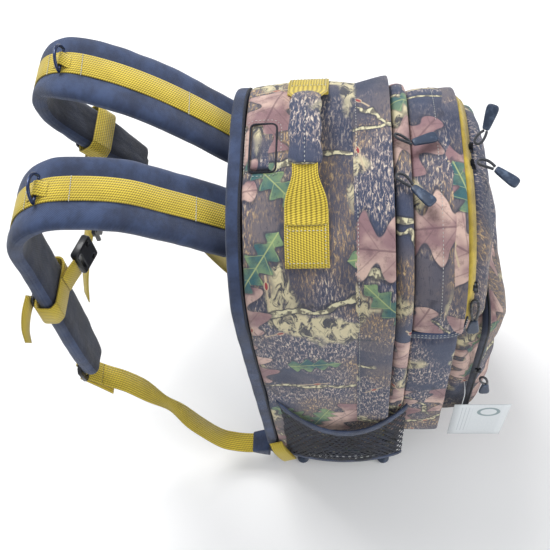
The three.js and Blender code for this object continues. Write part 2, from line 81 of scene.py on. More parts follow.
def set_camera():
    azimuth, elevation, roll = (math.radians(a) for a in (AZIMUTH, ELEVATION, ROLL))
    back = Vector((
        math.sin(azimuth) * math.cos(elevation),
        -math.cos(azimuth) * math.cos(elevation),
        math.sin(elevation),
    ))
    level = (-back).cross(Vector((0, 0, 1))).normalized()
    upright = level.cross(-back)
    right = math.cos(roll) * level + math.sin(roll) * upright
    up = math.cos(roll) * upright - math.sin(roll) * level
    camera = bpy.data.objects.new("camera", bpy.data.cameras.new("camera"))
    camera.data.lens = LENS
    camera.data.sensor_width = 36
    camera.matrix_world = Matrix.Translation(CAMERA_AT) @ Matrix((right, up, back)).transposed().to_4x4()
    bpy.context.collection.objects.link(camera)
    bpy.context.scene.camera = camera


# ---- shader graphs ----
def linear(red, green, blue):
    """A colour given as 0 to 255 on a screen, as the shader wants it."""
    return tuple((c / 255) ** 2.2 for c in (red, green, blue)) + (1.0,)


class Shader:
    """A material being made. Each method adds a node and returns its output."""

    def __init__(self, name, roughness, sheen=0.0, metallic=0.0, coat=0.0):
        self.material = bpy.data.materials.new(name)
        self.material.use_nodes = True
        self.tree = self.material.node_tree
        self.surface = self.tree.nodes["Principled BSDF"]
        for socket, value in {
            "Roughness": roughness,
            "Sheen Weight": sheen,
            "Sheen Roughness": 0.5,
            "Metallic": metallic,
            "Coat Weight": coat,
        }.items():
            self.surface.inputs[socket].default_value = value

    def add(self, kind, sockets, output=0, **settings):
        node = self.tree.nodes.new("ShaderNode" + kind)
        for key, value in settings.items():
            setattr(node, key, value)
        for key, value in sockets.items():
            if isinstance(value, bpy.types.NodeSocket):
                self.tree.links.new(value, node.inputs[key])
            else:
                node.inputs[key].default_value = value
        return node.outputs[output]

    def math(self, operation, *values):
        return self.add("Math", dict(enumerate(values)), operation=operation)

    def mix(self, share, first, second, blend="MIX"):
        sockets = {0: share, 6: first, 7: second}
        return self.add("Mix", sockets, output=2, data_type="RGBA", blend_type=blend)

    def split(self, vector):
        """The three parts of a vector or a colour."""
        node = self.tree.nodes.new("ShaderNodeSeparateXYZ")
        self.tree.links.new(vector, node.inputs[0])
        return node.outputs

    def cloth_map(self):
        return self.add("UVMap", {}, uv_map="print")

    def stretch(self, vector, across, along, shift=0.0, turn=0.0):
        sockets = {
            "Vector": vector,
            "Scale": (across, along, 1),
            "Location": (shift, shift * 0.7, 0),
            "Rotation": (0, 0, turn),
        }
        return self.add("Mapping", sockets)

    def noise(self, vector, scale=1.0, detail=2.0, roughness=0.5, distortion=0.0):
        sockets = {
            "Vector": vector,
            "Scale": scale,
            "Detail": detail,
            "Roughness": roughness,
            "Distortion": distortion,
        }
        return self.add("TexNoise", sockets, noise_dimensions="2D")

    def step(self, value, start, end):
        """0 before start, 1 after end, eased between; start may be the larger."""
        sockets = {"Value": value, "From Min": start, "From Max": end}
        return self.add("MapRange", sockets, interpolation_type="SMOOTHSTEP")

    def bump(self, height, depth, below=None):
        sockets = {"Height": height, "Strength": 1.0, "Distance": depth * MM}
        if below is not None:
            sockets["Normal"] = below
        return self.add("Bump", sockets)

    def paint(self, color=None, normal=None, **others):
        wanted = {"Base Color": color, "Normal": normal, **others}
        for socket, value in wanted.items():
            if value is not None:
                self.tree.links.new(value, self.surface.inputs[socket])
        return self.material


def weave(s, cloth, thread):
    """The height of a plain weave with threads that many mm apart."""
    place = s.split(cloth)
    turn = math.pi / (thread * MM)
    across = s.math("SINE", s.math("MULTIPLY", place[0], turn))
    along = s.math("SINE", s.math("MULTIPLY", place[1], turn))
    return s.math("MULTIPLY", across, along)


def leaves(s, cloth, cell, length, width, chance, seed, lobes=4.0):
    """Scattered lobed leaves, at most one to a cell that many mm wide: their mask, veins and dark surround."""
    spread = s.stretch(cloth, 1 / (cell * MM), 1 / (cell * MM), shift=seed)
    wobble = s.noise(spread, 5.0, detail=1)
    voronoi = s.tree.nodes.new("ShaderNodeTexVoronoi")
    voronoi.voronoi_dimensions = "2D"
    voronoi.inputs["Scale"].default_value = 1.0
    voronoi.inputs["Randomness"].default_value = 0.8
    s.tree.links.new(spread, voronoi.inputs["Vector"])
    chosen = s.split(voronoi.outputs["Color"])
    away = s.add("VectorMath", {0: spread, 1: voronoi.outputs["Position"]}, operation="SUBTRACT")
    angle = s.math("MULTIPLY", chosen[0], 2 * math.pi)
    turned = s.add("VectorRotate", {"Vector": away, "Angle": angle}, rotation_type="Z_AXIS")
    place = s.split(turned)
    along = s.math("DIVIDE", place[0], length)
    off_line = s.math("ABSOLUTE", place[1])
    left_over = s.math("SUBTRACT", 1.0, s.math("MULTIPLY", along, along))
    taper = s.math("SQRT", s.math("MAXIMUM", left_over, 0.0))
    lobe = s.math("COSINE", s.math("MULTIPLY", along, lobes * math.pi))
    edge = s.math("MULTIPLY_ADD", lobe, 0.3, 0.7)
    edge = s.math("MULTIPLY", edge, s.math("MULTIPLY_ADD", wobble, 0.5, 0.75))
    reach = s.math("MULTIPLY", s.math("MULTIPLY", taper, edge), width)
    inside = s.math("SUBTRACT", reach, off_line)
    present = s.math("LESS_THAN", chosen[1], chance)
    mask = s.math("MULTIPLY", s.step(inside, 0.0, 0.02), present)
    surround = s.math("MULTIPLY", s.step(inside, -0.05, 0.0), present)
    middle = s.step(off_line, 0.012, 0.004)
    slant = s.math("ADD", place[0], s.math("MULTIPLY", off_line, -0.8))
    ribs = s.step(s.math("SINE", s.math("MULTIPLY", slant, 34.0)), 0.95, 1.0)
    vein = s.math("MULTIPLY", s.math("MAXIMUM", middle, s.math("MULTIPLY", ribs, 0.6)), mask)
    return mask, vein, surround


def branches(s, cloth, spacing, turn, thickness, seed):
    """Long knotty branches, that far apart and at most that thick in mm: their mask and the dark beside them."""
    place = s.split(s.stretch(cloth, 1, 1, shift=seed, turn=turn))
    bend = s.noise(s.stretch(cloth, 9, 9, shift=seed), detail=4, roughness=0.55)
    wave = s.math("MULTIPLY_ADD", place[1], 1 / (spacing * MM), s.math("MULTIPLY", bend, 0.4))
    off = s.math("ABSOLUTE", s.math("SUBTRACT", s.math("FRACT", wave), 0.5))
    knots = s.noise(s.stretch(cloth, 55, 55, shift=seed), detail=3)
    half = s.math("MULTIPLY", s.math("MULTIPLY_ADD", knots, 0.9, 0.1), thickness / spacing)
    there = s.step(s.noise(s.stretch(cloth, 4, 4, shift=seed + 3), detail=1), 0.4, 0.44)
    wood = s.math("MULTIPLY", s.step(s.math("SUBTRACT", half, off), 0.0, 0.004), there)
    reach = s.math("MULTIPLY_ADD", half, 1.7, 0.002)
    dark = s.math("MULTIPLY", s.step(s.math("SUBTRACT", reach, off), 0.0, 0.012), there)
    return wood, dark


def woodland_cloth():
    """A made-up woodland print: bark, lichen, branches, seeds and fallen leaves on a plain weave."""
    s = Shader("woodland_cloth", roughness=0.8, sheen=0.12)
    cloth = s.cloth_map()

    drift = s.noise(s.stretch(cloth, 9, 7, shift=3.1), detail=3)
    color = s.mix(s.step(drift, 0.35, 0.65), linear(50, 61, 88), linear(104, 96, 100))
    ridge = s.noise(s.stretch(cloth, 520, 150), detail=5, roughness=0.7, distortion=0.5)
    bark_area = s.step(s.noise(s.stretch(cloth, 9, 13, shift=8.4), detail=3), 0.33, 0.5)
    bark = s.mix(s.step(drift, 0.42, 0.6), linear(148, 134, 134), linear(150, 122, 92))
    color = s.mix(s.math("MULTIPLY", s.step(ridge, 0.5, 0.57), bark_area), color, bark)
    pale_bark = s.mix(s.step(drift, 0.42, 0.6), linear(214, 200, 182), linear(204, 176, 132))
    color = s.mix(s.math("MULTIPLY", s.step(ridge, 0.58, 0.65), bark_area), color, pale_bark)
    color = s.mix(s.math("MULTIPLY", s.step(ridge, 0.44, 0.36), 0.5), color, linear(34, 42, 64))

    gloom = s.step(s.noise(s.stretch(cloth, 8, 5, shift=9.6), detail=4), 0.54, 0.64)
    color = s.mix(s.math("MULTIPLY", gloom, 0.62), color, linear(34, 44, 70))

    lichen_area = s.step(s.noise(s.stretch(cloth, 14, 10, shift=5.2), detail=2), 0.6, 0.66)
    mottle = s.noise(s.stretch(cloth, 120, 60), detail=5, roughness=0.7, distortion=0.6)
    lichen = s.mix(s.step(mottle, 0.4, 0.55), linear(62, 62, 68), linear(214, 202, 162))
    color = s.mix(s.math("MULTIPLY", lichen_area, 0.92), color, lichen)

    shade = s.noise(s.stretch(cloth, 24, 24, shift=6.0), detail=3)
    for seed, turn, spacing, thickness in ((1.4, 0.12, 150, 5.5), (4.9, -0.8, 240, 4.5)):
        wood, dark = branches(s, cloth, spacing, turn, thickness, seed)
        color = s.mix(s.math("MULTIPLY", dark, 0.8), color, linear(34, 38, 54))
        flecks = s.noise(s.stretch(cloth, 220, 160, shift=seed), detail=3)
        bare_wood = s.mix(s.step(flecks, 0.42, 0.58), linear(104, 100, 88), linear(214, 206, 168))
        color = s.mix(wood, color, bare_wood)

    dead, dead_vein, dead_edge = leaves(s, cloth, 112, 0.5, 0.3, 0.58, seed=2.3)
    color = s.mix(s.math("MULTIPLY", dead_edge, 0.6), color, linear(34, 36, 54))
    dead_color = s.mix(s.step(shade, 0.35, 0.65), linear(142, 108, 112), linear(214, 182, 168))
    spots = s.noise(s.stretch(cloth, 110, 110, shift=3.3), detail=5, roughness=0.75)
    dead_color = s.mix(s.math("MULTIPLY", s.step(spots, 0.5, 0.68), 0.5), dead_color, linear(110, 84, 84))
    color = s.mix(s.math("MULTIPLY", dead, 0.92), color, dead_color)
    color = s.mix(s.math("MULTIPLY", dead_vein, 0.6), color, linear(96, 66, 74))

    fresh, fresh_vein, fresh_edge = leaves(s, cloth, 74, 0.46, 0.2, 0.24, seed=7.7, lobes=5.0)
    color = s.mix(s.math("MULTIPLY", fresh_edge, 0.6), color, linear(24, 40, 58))
    fresh_color = s.mix(s.step(shade, 0.35, 0.65), linear(34, 92, 98), linear(126, 154, 106))
    fresh_color = s.mix(s.math("MULTIPLY", s.step(spots, 0.48, 0.66), 0.5), fresh_color, linear(38, 62, 66))
    color = s.mix(s.math("MULTIPLY", fresh, 0.9), color, fresh_color)
    color = s.mix(s.math("MULTIPLY", fresh_vein, 0.7), color, linear(176, 186, 120))

    seed_mask, seed_vein, seed_edge = leaves(s, cloth, 30, 0.13, 0.055, 0.08, seed=5.5, lobes=0.0)
    color = s.mix(seed_edge, color, linear(196, 176, 146))
    color = s.mix(seed_mask, color, linear(150, 52, 56))

    threads = weave(s, cloth, 0.55)
    color = s.mix(s.math("MULTIPLY", s.step(threads, -0.2, 0.9), 0.1), color, linear(205, 205, 215))
    crumple = s.noise(s.stretch(cloth, 60, 45, shift=2.2), detail=3)
    normal = s.bump(crumple, 1.0, below=s.bump(threads, 0.12))
    return s.paint(color, normal)


def plain_cloth(name, dark, light, thread=0.6, roughness=0.82, sheen=0.35, crumple_depth=0.9):
    """Woven cloth of one dye, paler where it is rubbed."""
    s = Shader(name, roughness=roughness, sheen=sheen)
    cloth = s.cloth_map()
    threads = weave(s, cloth, thread)
    wear = s.noise(s.stretch(cloth, 35, 35, shift=1.3), detail=4, roughness=0.65)
    color = s.mix(s.step(wear, 0.3, 0.75), linear(*dark), linear(*light))
    color = s.mix(s.math("MULTIPLY", s.step(threads, 0.0, 1.0), 0.35), color, linear(*light))
    crumple = s.noise(s.stretch(cloth, 70, 50, shift=4.2), detail=3)
    normal = s.bump(crumple, crumple_depth, below=s.bump(threads, 0.15))
    return s.paint(color, normal)


def ribbed_webbing(name, dark, light, ribs=8):
    """Webbing with lengthwise ribs, each crossed by short slanting picks, with painted shade down in the grooves
    between them.
    """
    s = Shader(name, roughness=0.7, sheen=0.3)
    cloth = s.cloth_map()
    place = s.split(cloth)
    rib_width = WEBBING_WIDTH / ribs * MM
    rib_phase = s.math("MULTIPLY", place[0], math.pi / rib_width)
    rib = s.math("ABSOLUTE", s.math("SINE", rib_phase))
    pick_phase = s.math("MULTIPLY_ADD", place[1], 2 * math.pi / (2.1 * MM), s.math("MULTIPLY", rib_phase, 1.0))
    pick = s.math("SINE", pick_phase)
    height = s.math("MULTIPLY_ADD", pick, 0.3, s.math("MULTIPLY", rib, 0.8))
    fade = s.noise(s.stretch(cloth, 40, 25, shift=5.0), detail=3)
    # painted shade: the colour follows the weave's height, darker down in the grooves between ribs and picks, the
    # webbing's own colour on their crowns
    color = s.mix(s.step(height, 0.1, 0.85), linear(*dark), linear(*light))
    color = s.mix(s.math("MULTIPLY", s.step(fade, 0.4, 0.7), 0.25), color, linear(*dark))
    return s.paint(color, s.bump(height, 0.5))


def stretch_mesh():
    """Knitted mesh: round holes in a close lattice, seen through."""
    s = Shader("stretch_mesh", roughness=0.8, sheen=0.05)
    cloth = s.cloth_map()
    place = s.split(cloth)
    pitch = 2 * math.pi / (MESH_PITCH * MM)
    waves = []
    for angle in (0, 60, 120):
        u = s.math("MULTIPLY", place[0], pitch * math.cos(math.radians(angle)))
        v = s.math("MULTIPLY", place[1], pitch * math.sin(math.radians(angle)))
        waves.append(s.math("COSINE", s.math("ADD", u, v)))
    lattice = s.math("ADD", s.math("ADD", waves[0], waves[1]), waves[2])
    thread = s.step(lattice, 1.3, 0.7)
    tone = s.noise(s.stretch(cloth, 50, 50), detail=3)
    color = s.mix(s.step(tone, 0.3, 0.7), linear(10, 14, 24), linear(24, 32, 50))
    return s.paint(color, s.bump(thread, 0.4), Alpha=thread)


def moulded(name, dark, light, roughness=0.42, metallic=0.0, coat=0.1):
    """Moulded or cast stuff: a fine grain, with paler scuffs."""
    s = Shader(name, roughness=roughness, metallic=metallic, coat=coat)
    place = s.add("TexCoord", {}, output=3)
    grain = s.add("TexNoise", {"Vector": place, "Scale": 900.0, "Detail": 2.0})
    scuff = s.add("TexNoise", {"Vector": place, "Scale": 120.0, "Detail": 4.0, "Roughness": 0.7})
    color = s.mix(s.step(scuff, 0.5, 0.72), linear(*dark), linear(*light))
    rough = s.add("MapRange", {"Value": scuff, "To Min": roughness - 0.08, "To Max": roughness + 0.16})
    return s.paint(color, s.bump(grain, 0.08), Roughness=rough)


def braided_cord():
    s = Shader("braided_cord", roughness=0.6, sheen=0.3)
    place = s.add("TexCoord", {}, output=3)
    strands = s.add("TexWave", {"Vector": place, "Scale": 260.0, "Distortion": 2.0}, output=1)
    color = s.mix(strands, linear(18, 20, 26), linear(48, 52, 62))
    return s.paint(color, s.bump(strands, 0.2))


def tag_card():
    """Blank card with a faint printed ring and rules, and no lettering."""
    s = Shader("tag_card", roughness=0.45, coat=0.15)
    cloth = s.cloth_map()
    place = s.split(cloth)
    across = s.math("SUBTRACT", place[0], 0.022)
    down = s.math("SUBTRACT", place[1], 0.022)
    radius = s.math("SQRT", s.math("ADD", s.math("MULTIPLY", across, across), s.math("MULTIPLY", down, down)))
    ring = s.step(s.math("ABSOLUTE", s.math("SUBTRACT", radius, 0.011)), 0.0022, 0.0016)
    rules = s.step(s.math("SINE", s.math("MULTIPLY", place[0], 1600.0)), 0.75, 0.9)
    in_block = s.math("MULTIPLY", s.step(place[0], 0.04, 0.041), s.step(place[0], 0.055, 0.054))
    in_block = s.math("MULTIPLY", in_block, s.step(place[1], 0.008, 0.009))
    in_block = s.math("MULTIPLY", in_block, s.step(place[1], 0.085, 0.084))
    fleck = s.noise(s.stretch(cloth, 400, 400), detail=2)
    color = s.mix(fleck, linear(212, 218, 221), linear(226, 230, 232))
    color = s.mix(s.math("MULTIPLY", rules, s.math("MULTIPLY", in_block, 0.5)), color, linear(150, 158, 166))
    color = s.mix(s.math("MULTIPLY", ring, 0.7), color, linear(58, 104, 110))
    return s.paint(color, s.bump(fleck, 0.05))


CAMO = woodland_cloth()
NAVY = plain_cloth("navy_cloth", (32, 43, 68), (56, 72, 106), sheen=0.2)
NAVY_DARK = plain_cloth("navy_backing", (22, 28, 44), (38, 46, 66), thread=1.2, sheen=0.2)
LINING = plain_cloth("lining_cloth", (112, 108, 98), (150, 146, 134), roughness=0.6, sheen=0.1)
MUSTARD = ribbed_webbing("mustard_webbing", (138, 118, 26), (220, 194, 62), ribs=10)
TAPE = plain_cloth("zip_tape_cloth", (150, 126, 30), (206, 178, 56), thread=0.8)
MESH = stretch_mesh()
PLASTIC = moulded("navy_plastic", (46, 58, 78), (84, 98, 120))
BLACK_PLASTIC = moulded("black_plastic", (18, 20, 26), (48, 52, 60))
SLIDER_METAL = moulded("slider_metal", (20, 22, 28), (90, 94, 100), roughness=0.35, metallic=0.8)
RING_METAL = moulded("ring_metal", (34, 48, 82), (86, 104, 142), roughness=0.3, metallic=0.6, coat=0.4)
SHEET_PLASTIC = moulded("sheet_plastic", (196, 196, 190), (216, 216, 212), roughness=0.5)
CLEAR_PLASTIC = moulded("clear_plastic", (200, 204, 206), (228, 230, 232), roughness=0.25)
CORD_BRAID = braided_cord()
CARD = tag_card()
THREAD = plain_cloth("white_thread", (182, 182, 176), (216, 216, 210), roughness=0.7, crumple_depth=0.1)
BASE_BODY = "pack"


# ---- meshes ----
def build(name, bm):
    """Turns a bmesh in millimetres into a smooth object in metres."""
    for vert in bm.verts:
        vert.co *= MM
    mesh = bpy.data.meshes.new(name)
    bm.to_mesh(mesh)
    bm.free()
    mesh.polygons.foreach_set("use_smooth", [True] * len(mesh.polygons))
    obj = bpy.data.objects.new(name, mesh)
    bpy.context.collection.objects.link(obj)
    return obj


def lengths(points):
    total = [0.0]
    for a, b in zip(points, points[1:]):
        total.append(total[-1] + (Vector(b) - Vector(a)).length * MM)
    return total


def grid(name, rows, ring=False, shift=(0.0, 0.0), filled=()):
    """A surface through rows of points, with one face over each row numbered in filled.

    Its print map measures the cloth in metres: across the rows, then along them.
    """
    middle = list(rows[len(rows) // 2])
    along = lengths(middle + middle[:1] if ring else middle)
    across = lengths([row[len(row) // 4] for row in rows])
    bm = bmesh.new()
    cloth = bm.loops.layers.uv.new("print")
    verts = [[bm.verts.new(p) for p in row] for row in rows]
    count = len(rows[0])
    for i in range(len(rows) - 1):
        for j in range(count if ring else count - 1):
            corners = ((i, j), (i, j + 1), (i + 1, j + 1), (i + 1, j))
            face = bm.faces.new([verts[r][c % count] for r, c in corners])
            for loop, (r, c) in zip(face.loops, corners):
                loop[cloth].uv = (shift[0] + across[r], shift[1] + along[c])
    for r in filled:
        for c, loop in enumerate(bm.faces.new(verts[r]).loops):
            loop[cloth].uv = (shift[0] + across[r], shift[1] + along[c])
    bmesh.ops.recalc_face_normals(bm, faces=bm.faces)
    return build(name, bm)


def flat_map(obj, shift=(0.0, 0.0), front=-0.2):
    """Lays the print on a piece from the front, unfolded round its sides."""
    mesh = obj.data
    layer = mesh.uv_layers.get("print") or mesh.uv_layers.new(name="print")
    normals = mesh.vertex_normals
    for loop in mesh.loops:
        place = mesh.vertices[loop.vertex_index].co
        normal = normals[loop.vertex_index].vector
        depth = place.y - front
        layer.data[loop.index].uv = (
            shift[0] + place.x + depth * normal.x,
            shift[1] + place.z + depth * normal.z,
        )


def closed(obj):
    """Fills a surface's open ends."""
    bm = bmesh.new()
    bm.from_mesh(obj.data)
    bmesh.ops.holes_fill(bm, edges=[e for e in bm.edges if e.is_boundary])
    bmesh.ops.recalc_face_normals(bm, faces=bm.faces)
    bm.to_mesh(obj.data)
    bm.free()
    return obj


def map_by(obj, place):
    """Lays the print on a piece by a rule from a point in metres to its place on the cloth."""
    layer = obj.data.uv_layers["print"]
    for loop in obj.data.loops:
        layer.data[loop.index].uv = place(obj.data.vertices[loop.vertex_index].co)


def subdivide(obj, levels=1):
    modifier = obj.modifiers.new("smooth", "SUBSURF")
    modifier.levels = levels
    modifier.render_levels = levels
    return obj


def thicken(obj, thickness, inside=None):
    modifier = obj.modifiers.new("thickness", "SOLIDIFY")
    modifier.thickness = thickness * MM
    modifier.offset = -1
    if inside is not None:
        modifier.material_offset = 1
    return obj


def rumple(obj, height, size, seed=0.0):
    """Works the cloth in and out by up to height, in soft folds of that size."""
    mesh = obj.data
    normals = [n.vector.copy() for n in mesh.vertex_normals]
    for vert, normal in zip(mesh.vertices, normals):
        at = vert.co / (size * MM) + Vector((seed, seed * 1.7, 0))
        vert.co += normal * height * MM * noise.fractal(at, 0.8, 2.0, 3)


def piece(obj, material, body, slot, *stands_for, inside=None):
    """Gives a piece its material, the body it moves with and the CAD nodes that it stands for."""
    obj.data.materials.append(material)
    if inside is not None:
        obj.data.materials.append(inside)
    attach(obj, body)
    if stands_for:
        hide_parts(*stands_for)
    return obj


def bridge(obj, material, slot, bodies, start, end, *stands_for):
    """Gives a final mesh its material, hides the CAD nodes that it stands for and bakes its placement into the mesh;
    bodies, start and end are not used.
    """
    obj.data.materials.append(material)
    if stands_for:
        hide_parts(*stands_for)
    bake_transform(obj)


def settled(obj):
    """The mesh as its modifiers leave it, with the modifiers gone."""
    graph = bpy.context.evaluated_depsgraph_get()
    mesh = bpy.data.meshes.new_from_object(obj.evaluated_get(graph))
    obj.modifiers.clear()
    obj.data = mesh
    return obj


def inflate(obj, voxel, cap, held):
    """Remeshes a closed soft piece and lets air fill it. Points that held() is true for stay where they are."""
    remesh = obj.modifiers.new("remesh", "REMESH")
    remesh.voxel_size = voxel * MM
    settled(obj)
    start = [v.co.copy() for v in obj.data.vertices]
    group = obj.vertex_groups.new(name="held")
    group.add([i for i, co in enumerate(start) if held(co / MM)], 1.0, "REPLACE")
    cloth = obj.modifiers.new("air", "CLOTH")
    cloth.settings.use_pressure = True
    cloth.settings.uniform_pressure_force = 4
    cloth.settings.effector_weights.gravity = 0
    cloth.settings.vertex_group_mass = group.name
    for step in range(1, 21):
        bpy.context.scene.frame_set(step)
    settled(obj)
    bpy.context.scene.frame_set(1)
    for vert, before in zip(obj.data.vertices, start):
        move = vert.co - before
        if move.length > cap * MM:
            vert.co = before + move.normalized() * cap * MM
    obj.data.polygons.foreach_set("use_smooth", [True] * len(obj.data.polygons))
    return obj


# ---- arched outlines ----
Arch = namedtuple("Arch", "half low high top base front back")


def arch_of(node, top, base):
    low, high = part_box(node)
    return Arch(high[0] / MM, low[2] / MM, high[2] / MM, top, base, low[1] / MM, high[1] / MM)


def outline(arch, margin=0.0, corner=8, side=18, level=10):
    """(x, z, outward x, outward z) round an arch from its bottom middle, the near side last."""
    half = arch.half - margin
    low = arch.low + margin
    high = arch.high - margin
    top = max(arch.top - margin, 2)
    base = max(arch.base - margin, 2)
    points = []

    def run(x0, z0, x1, z1, steps, nx, nz):
        for i in range(steps):
            t = i / steps
            points.append((x0 + (x1 - x0) * t, z0 + (z1 - z0) * t, nx, nz))

    def bend(x, z, radius, start, steps):
        for i in range(steps):
            angle = math.radians(start + 90 * i / steps)
            nx, nz = math.cos(angle), math.sin(angle)
            points.append((x + radius * nx, z + radius * nz, nx, nz))

    run(0, low, half - base, low, level, 0, -1)
    bend(half - base, low + base, base, -90, corner // 2)
    run(half, low + base, half, high - top, side, 1, 0)
    bend(half - top, high - top, top, 0, corner)
    run(half - top, high, top - half, high, level, 0, 1)
    bend(top - half, high - top, top, 90, corner)
    run(-half, high - top, -half, low + base, side, -1, 0)
    bend(base - half, low + base, base, 180, corner // 2)
    run(base - half, low, 0, low, level, 0, -1)
    return points


def band_row(points, y, lift):
    """Points of an outline at one depth, lifted off it."""
    return [(x + nx * lift, y, z + nz * lift) for x, z, nx, nz in points]


def above(points, foot):
    """The part of an outline over a height, in order from the +X side to the -X side."""
    return [p for p in points if p[1] >= foot and not (p[3] < -0.5)]


def resampled(run, count):
    """The same run of outline points as that many, evenly shared out."""
    found = []
    for i in range(count):
        place = i * (len(run) - 1) / (count - 1)
        first = min(int(place), len(run) - 2)
        part = place - first
        found.append(tuple(a + (b - a) * part for a, b in zip(run[first], run[first + 1])))
    return found


def puff_at(y, front, back, height=PUFF):
    """How far padded cloth stands out between two seams."""
    t = min(max((y - front) / (back - front), 0), 1)
    return height * math.sin(math.pi * t) ** 0.6


def spaced(start, end, count):
    return [start + (end - start) * i / (count - 1) for i in range(count)]


GUSSET = arch_of("main_compartment", 98, 20)
LID = arch_of("front_panel", 96, 10)
UPPER = arch_of("upper_compartment", 95, 12)
LOWER = arch_of("lower_compartment", 14, 34)
UPPER_FRONT = arch_of("upper_front_pocket", 90, 14)
LOWER_FRONT = arch_of("lower_front_pocket", 24, 44)
BACK = arch_of("back_panel", 100, 20)
MOUTH_Y = -38.0
FLAP_SEAM_Y = -9.0
SILL_TOP = 60.0
SLIDER_ROOM = 4.8
NET_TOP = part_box("left_mesh_pocket")[1][2] / MM


def eased(value, start, end):
    """0 up to start, 1 from end, eased between."""
    t = min(max((value - start) / (end - start), 0), 1)
    return t * t * (3 - 2 * t)


def flap_room(y, z):
    """The storm flap's stand-out: the gusset's, and room for the sliders down its sides."""
    beside_sliders = eased(z, 440, 419) * eased(z, 345, 392)
    return gusset_puff(y, z) + SLIDER_ROOM * eased(y, FLAP_SEAM_Y, MOUTH_Y) * beside_sliders


def gusset_puff(y, z):
    """The main gusset's stand-out, fading to nothing at the base."""
    return puff_at(y, FLAP_SEAM_Y, GUSSET.back) * min(max((z - 20) / 60, 0), 1)


def dressed_band(name, arch, front, back, height, shift, count=9, cap=False):
    """A padded band of cloth round an arch, flatter beside the mesh pockets; cap closes its front."""
    ring = outline(arch)

    def swell(y, z, nz):
        full = min(max((z - NET_TOP) / 40, 0.3), 1) if nz > -0.5 else 0
        return full * puff_at(y, front, back, height)

    rows = []
    for y in spaced(back, front, count):
        rows.append([
            (x + nx * swell(y, z, nz), y, z + nz * swell(y, z, nz)) for x, z, nx, nz in ring
        ])
    if cap:
        middle = (arch.low + arch.high) / 2
        for share in (0.97, 0.8, 0.5, 0.2):
            rows.append([(x * share, front, middle + (z - middle) * share) for x, z, nx, nz in ring])
    return grid(name, rows, ring=True, shift=shift, filled=(-1,) if cap else ())


def fold_flap(name, arch, seam_y, edge_y, foot, lift, shift, puff=lambda y, z: 0.0):
    """A flap of doubled cloth over a zip: sewn down at seam_y, folded back under itself at edge_y."""
    run = above(outline(arch), foot)
    toward = math.copysign(1, edge_y - seam_y)
    profile = [
        (seam_y - 1.5 * toward, 0.3), (seam_y, 0.6), (seam_y + 3 * toward, 1.6),
        ((seam_y + edge_y) / 2, lift * 0.62), (edge_y - 4 * toward, lift), (edge_y, lift - 0.1),
        (edge_y + 0.3 * toward, lift - 0.7), (edge_y - 1 * toward, lift - 1.3), (edge_y - 9 * toward, lift - 1.3),
    ]
    rows = [
        [(x + nx * (h + puff(y, z)), y, z + nz * (h + puff(y, z))) for x, z, nx, nz in run]
        for y, h in profile
    ]
    return grid(name, rows, shift=shift)


# ---- routes ----
def smooth_route(points, spacing=4.0):
    """Points a few mm apart on a smooth curve through given points."""
    fixed = [Vector(p) for p in points]
    ends = [2 * fixed[0] - fixed[1], *fixed, 2 * fixed[-1] - fixed[-2]]
    route = []
    for a, b, c, d in zip(ends, ends[1:], ends[2:], ends[3:]):
        steps = max(2, round((c - b).length / spacing))
        for i in range(steps):
            t = i / steps
            route.append(0.5 * (
                2 * b + (c - a) * t + (2 * a - 5 * b + 4 * c - d) * t ** 2
                + (3 * b - a - 3 * c + d) * t ** 3
            ))
    return route + [fixed[-1]]


def frames(route, across):
    """For each point of a route: the point, its sideways direction and the direction off its face."""
    found = []
    for i, point in enumerate(route):
        tangent = (route[min(i + 1, len(route) - 1)] - route[max(i - 1, 0)]).normalized()
        side = across(i / (len(route) - 1)).normalized()
        found.append((point, side, side.cross(tangent).normalized(), tangent))
    return found


def sweep(name, route, section, across, shift=(0.0, 0.0), ends=True):
    """Carries a closed section along a route. section(share) gives (sideways, off the face) pairs."""
    rows = []
    steps = frames(route, across)
    for i, (point, side, out, tangent) in enumerate(steps):
        share = i / (len(steps) - 1)
        rows.append([point + side * u + out * v for u, v in section(share)])
    if ends:
        rows.insert(0, [sum(rows[0], Vector()) / len(rows[0]) * 0.9 + p * 0.1 for p in rows[0]])
        rows.append([sum(rows[-1], Vector()) / len(rows[-1]) * 0.9 + p * 0.1 for p in rows[-1]])
    bm = bmesh.new()
    cloth = bm.loops.layers.uv.new("print")
    verts = [[bm.verts.new(p) for p in row] for row in rows]
    count = len(rows[0])
    along = lengths([row[0] for row in rows])
    around = [u * MM for u, v in section(0.5)]
    for i in range(len(rows) - 1):
        for j in range(count):
            k = (j + 1) % count
            face = bm.faces.new((verts[i][j], verts[i][k], verts[i + 1][k], verts[i + 1][j]))
            for loop, (r, c) in zip(face.loops, ((i, j), (i, k), (i + 1, k), (i + 1, j))):
                loop[cloth].uv = (shift[0] + around[c], shift[1] + along[r])
    if ends:
        bm.faces.new(verts[0])
        bm.faces.new(verts[-1])
    bmesh.ops.recalc_face_normals(bm, faces=bm.faces)
    return build(name, bm)


def ribbon(width, low, high):
    """The section of a flat strip with soft edges; width may change along it."""
    def section(share):
        half = (width(share) if callable(width) else width) / 2
        middle = (low + high) / 2
        return [
            (-half, middle), (-half + 0.5, low), (0, low), (half - 0.5, low),
            (half, middle), (half - 0.5, high), (0, high), (-half + 0.5, high),
        ]
    return section


def along_x(share):
    return Vector((1, 0, 0))


def along_y(share):
    return Vector((0, 1, 0))


def along_z(share):
    return Vector((0, 0, 1))


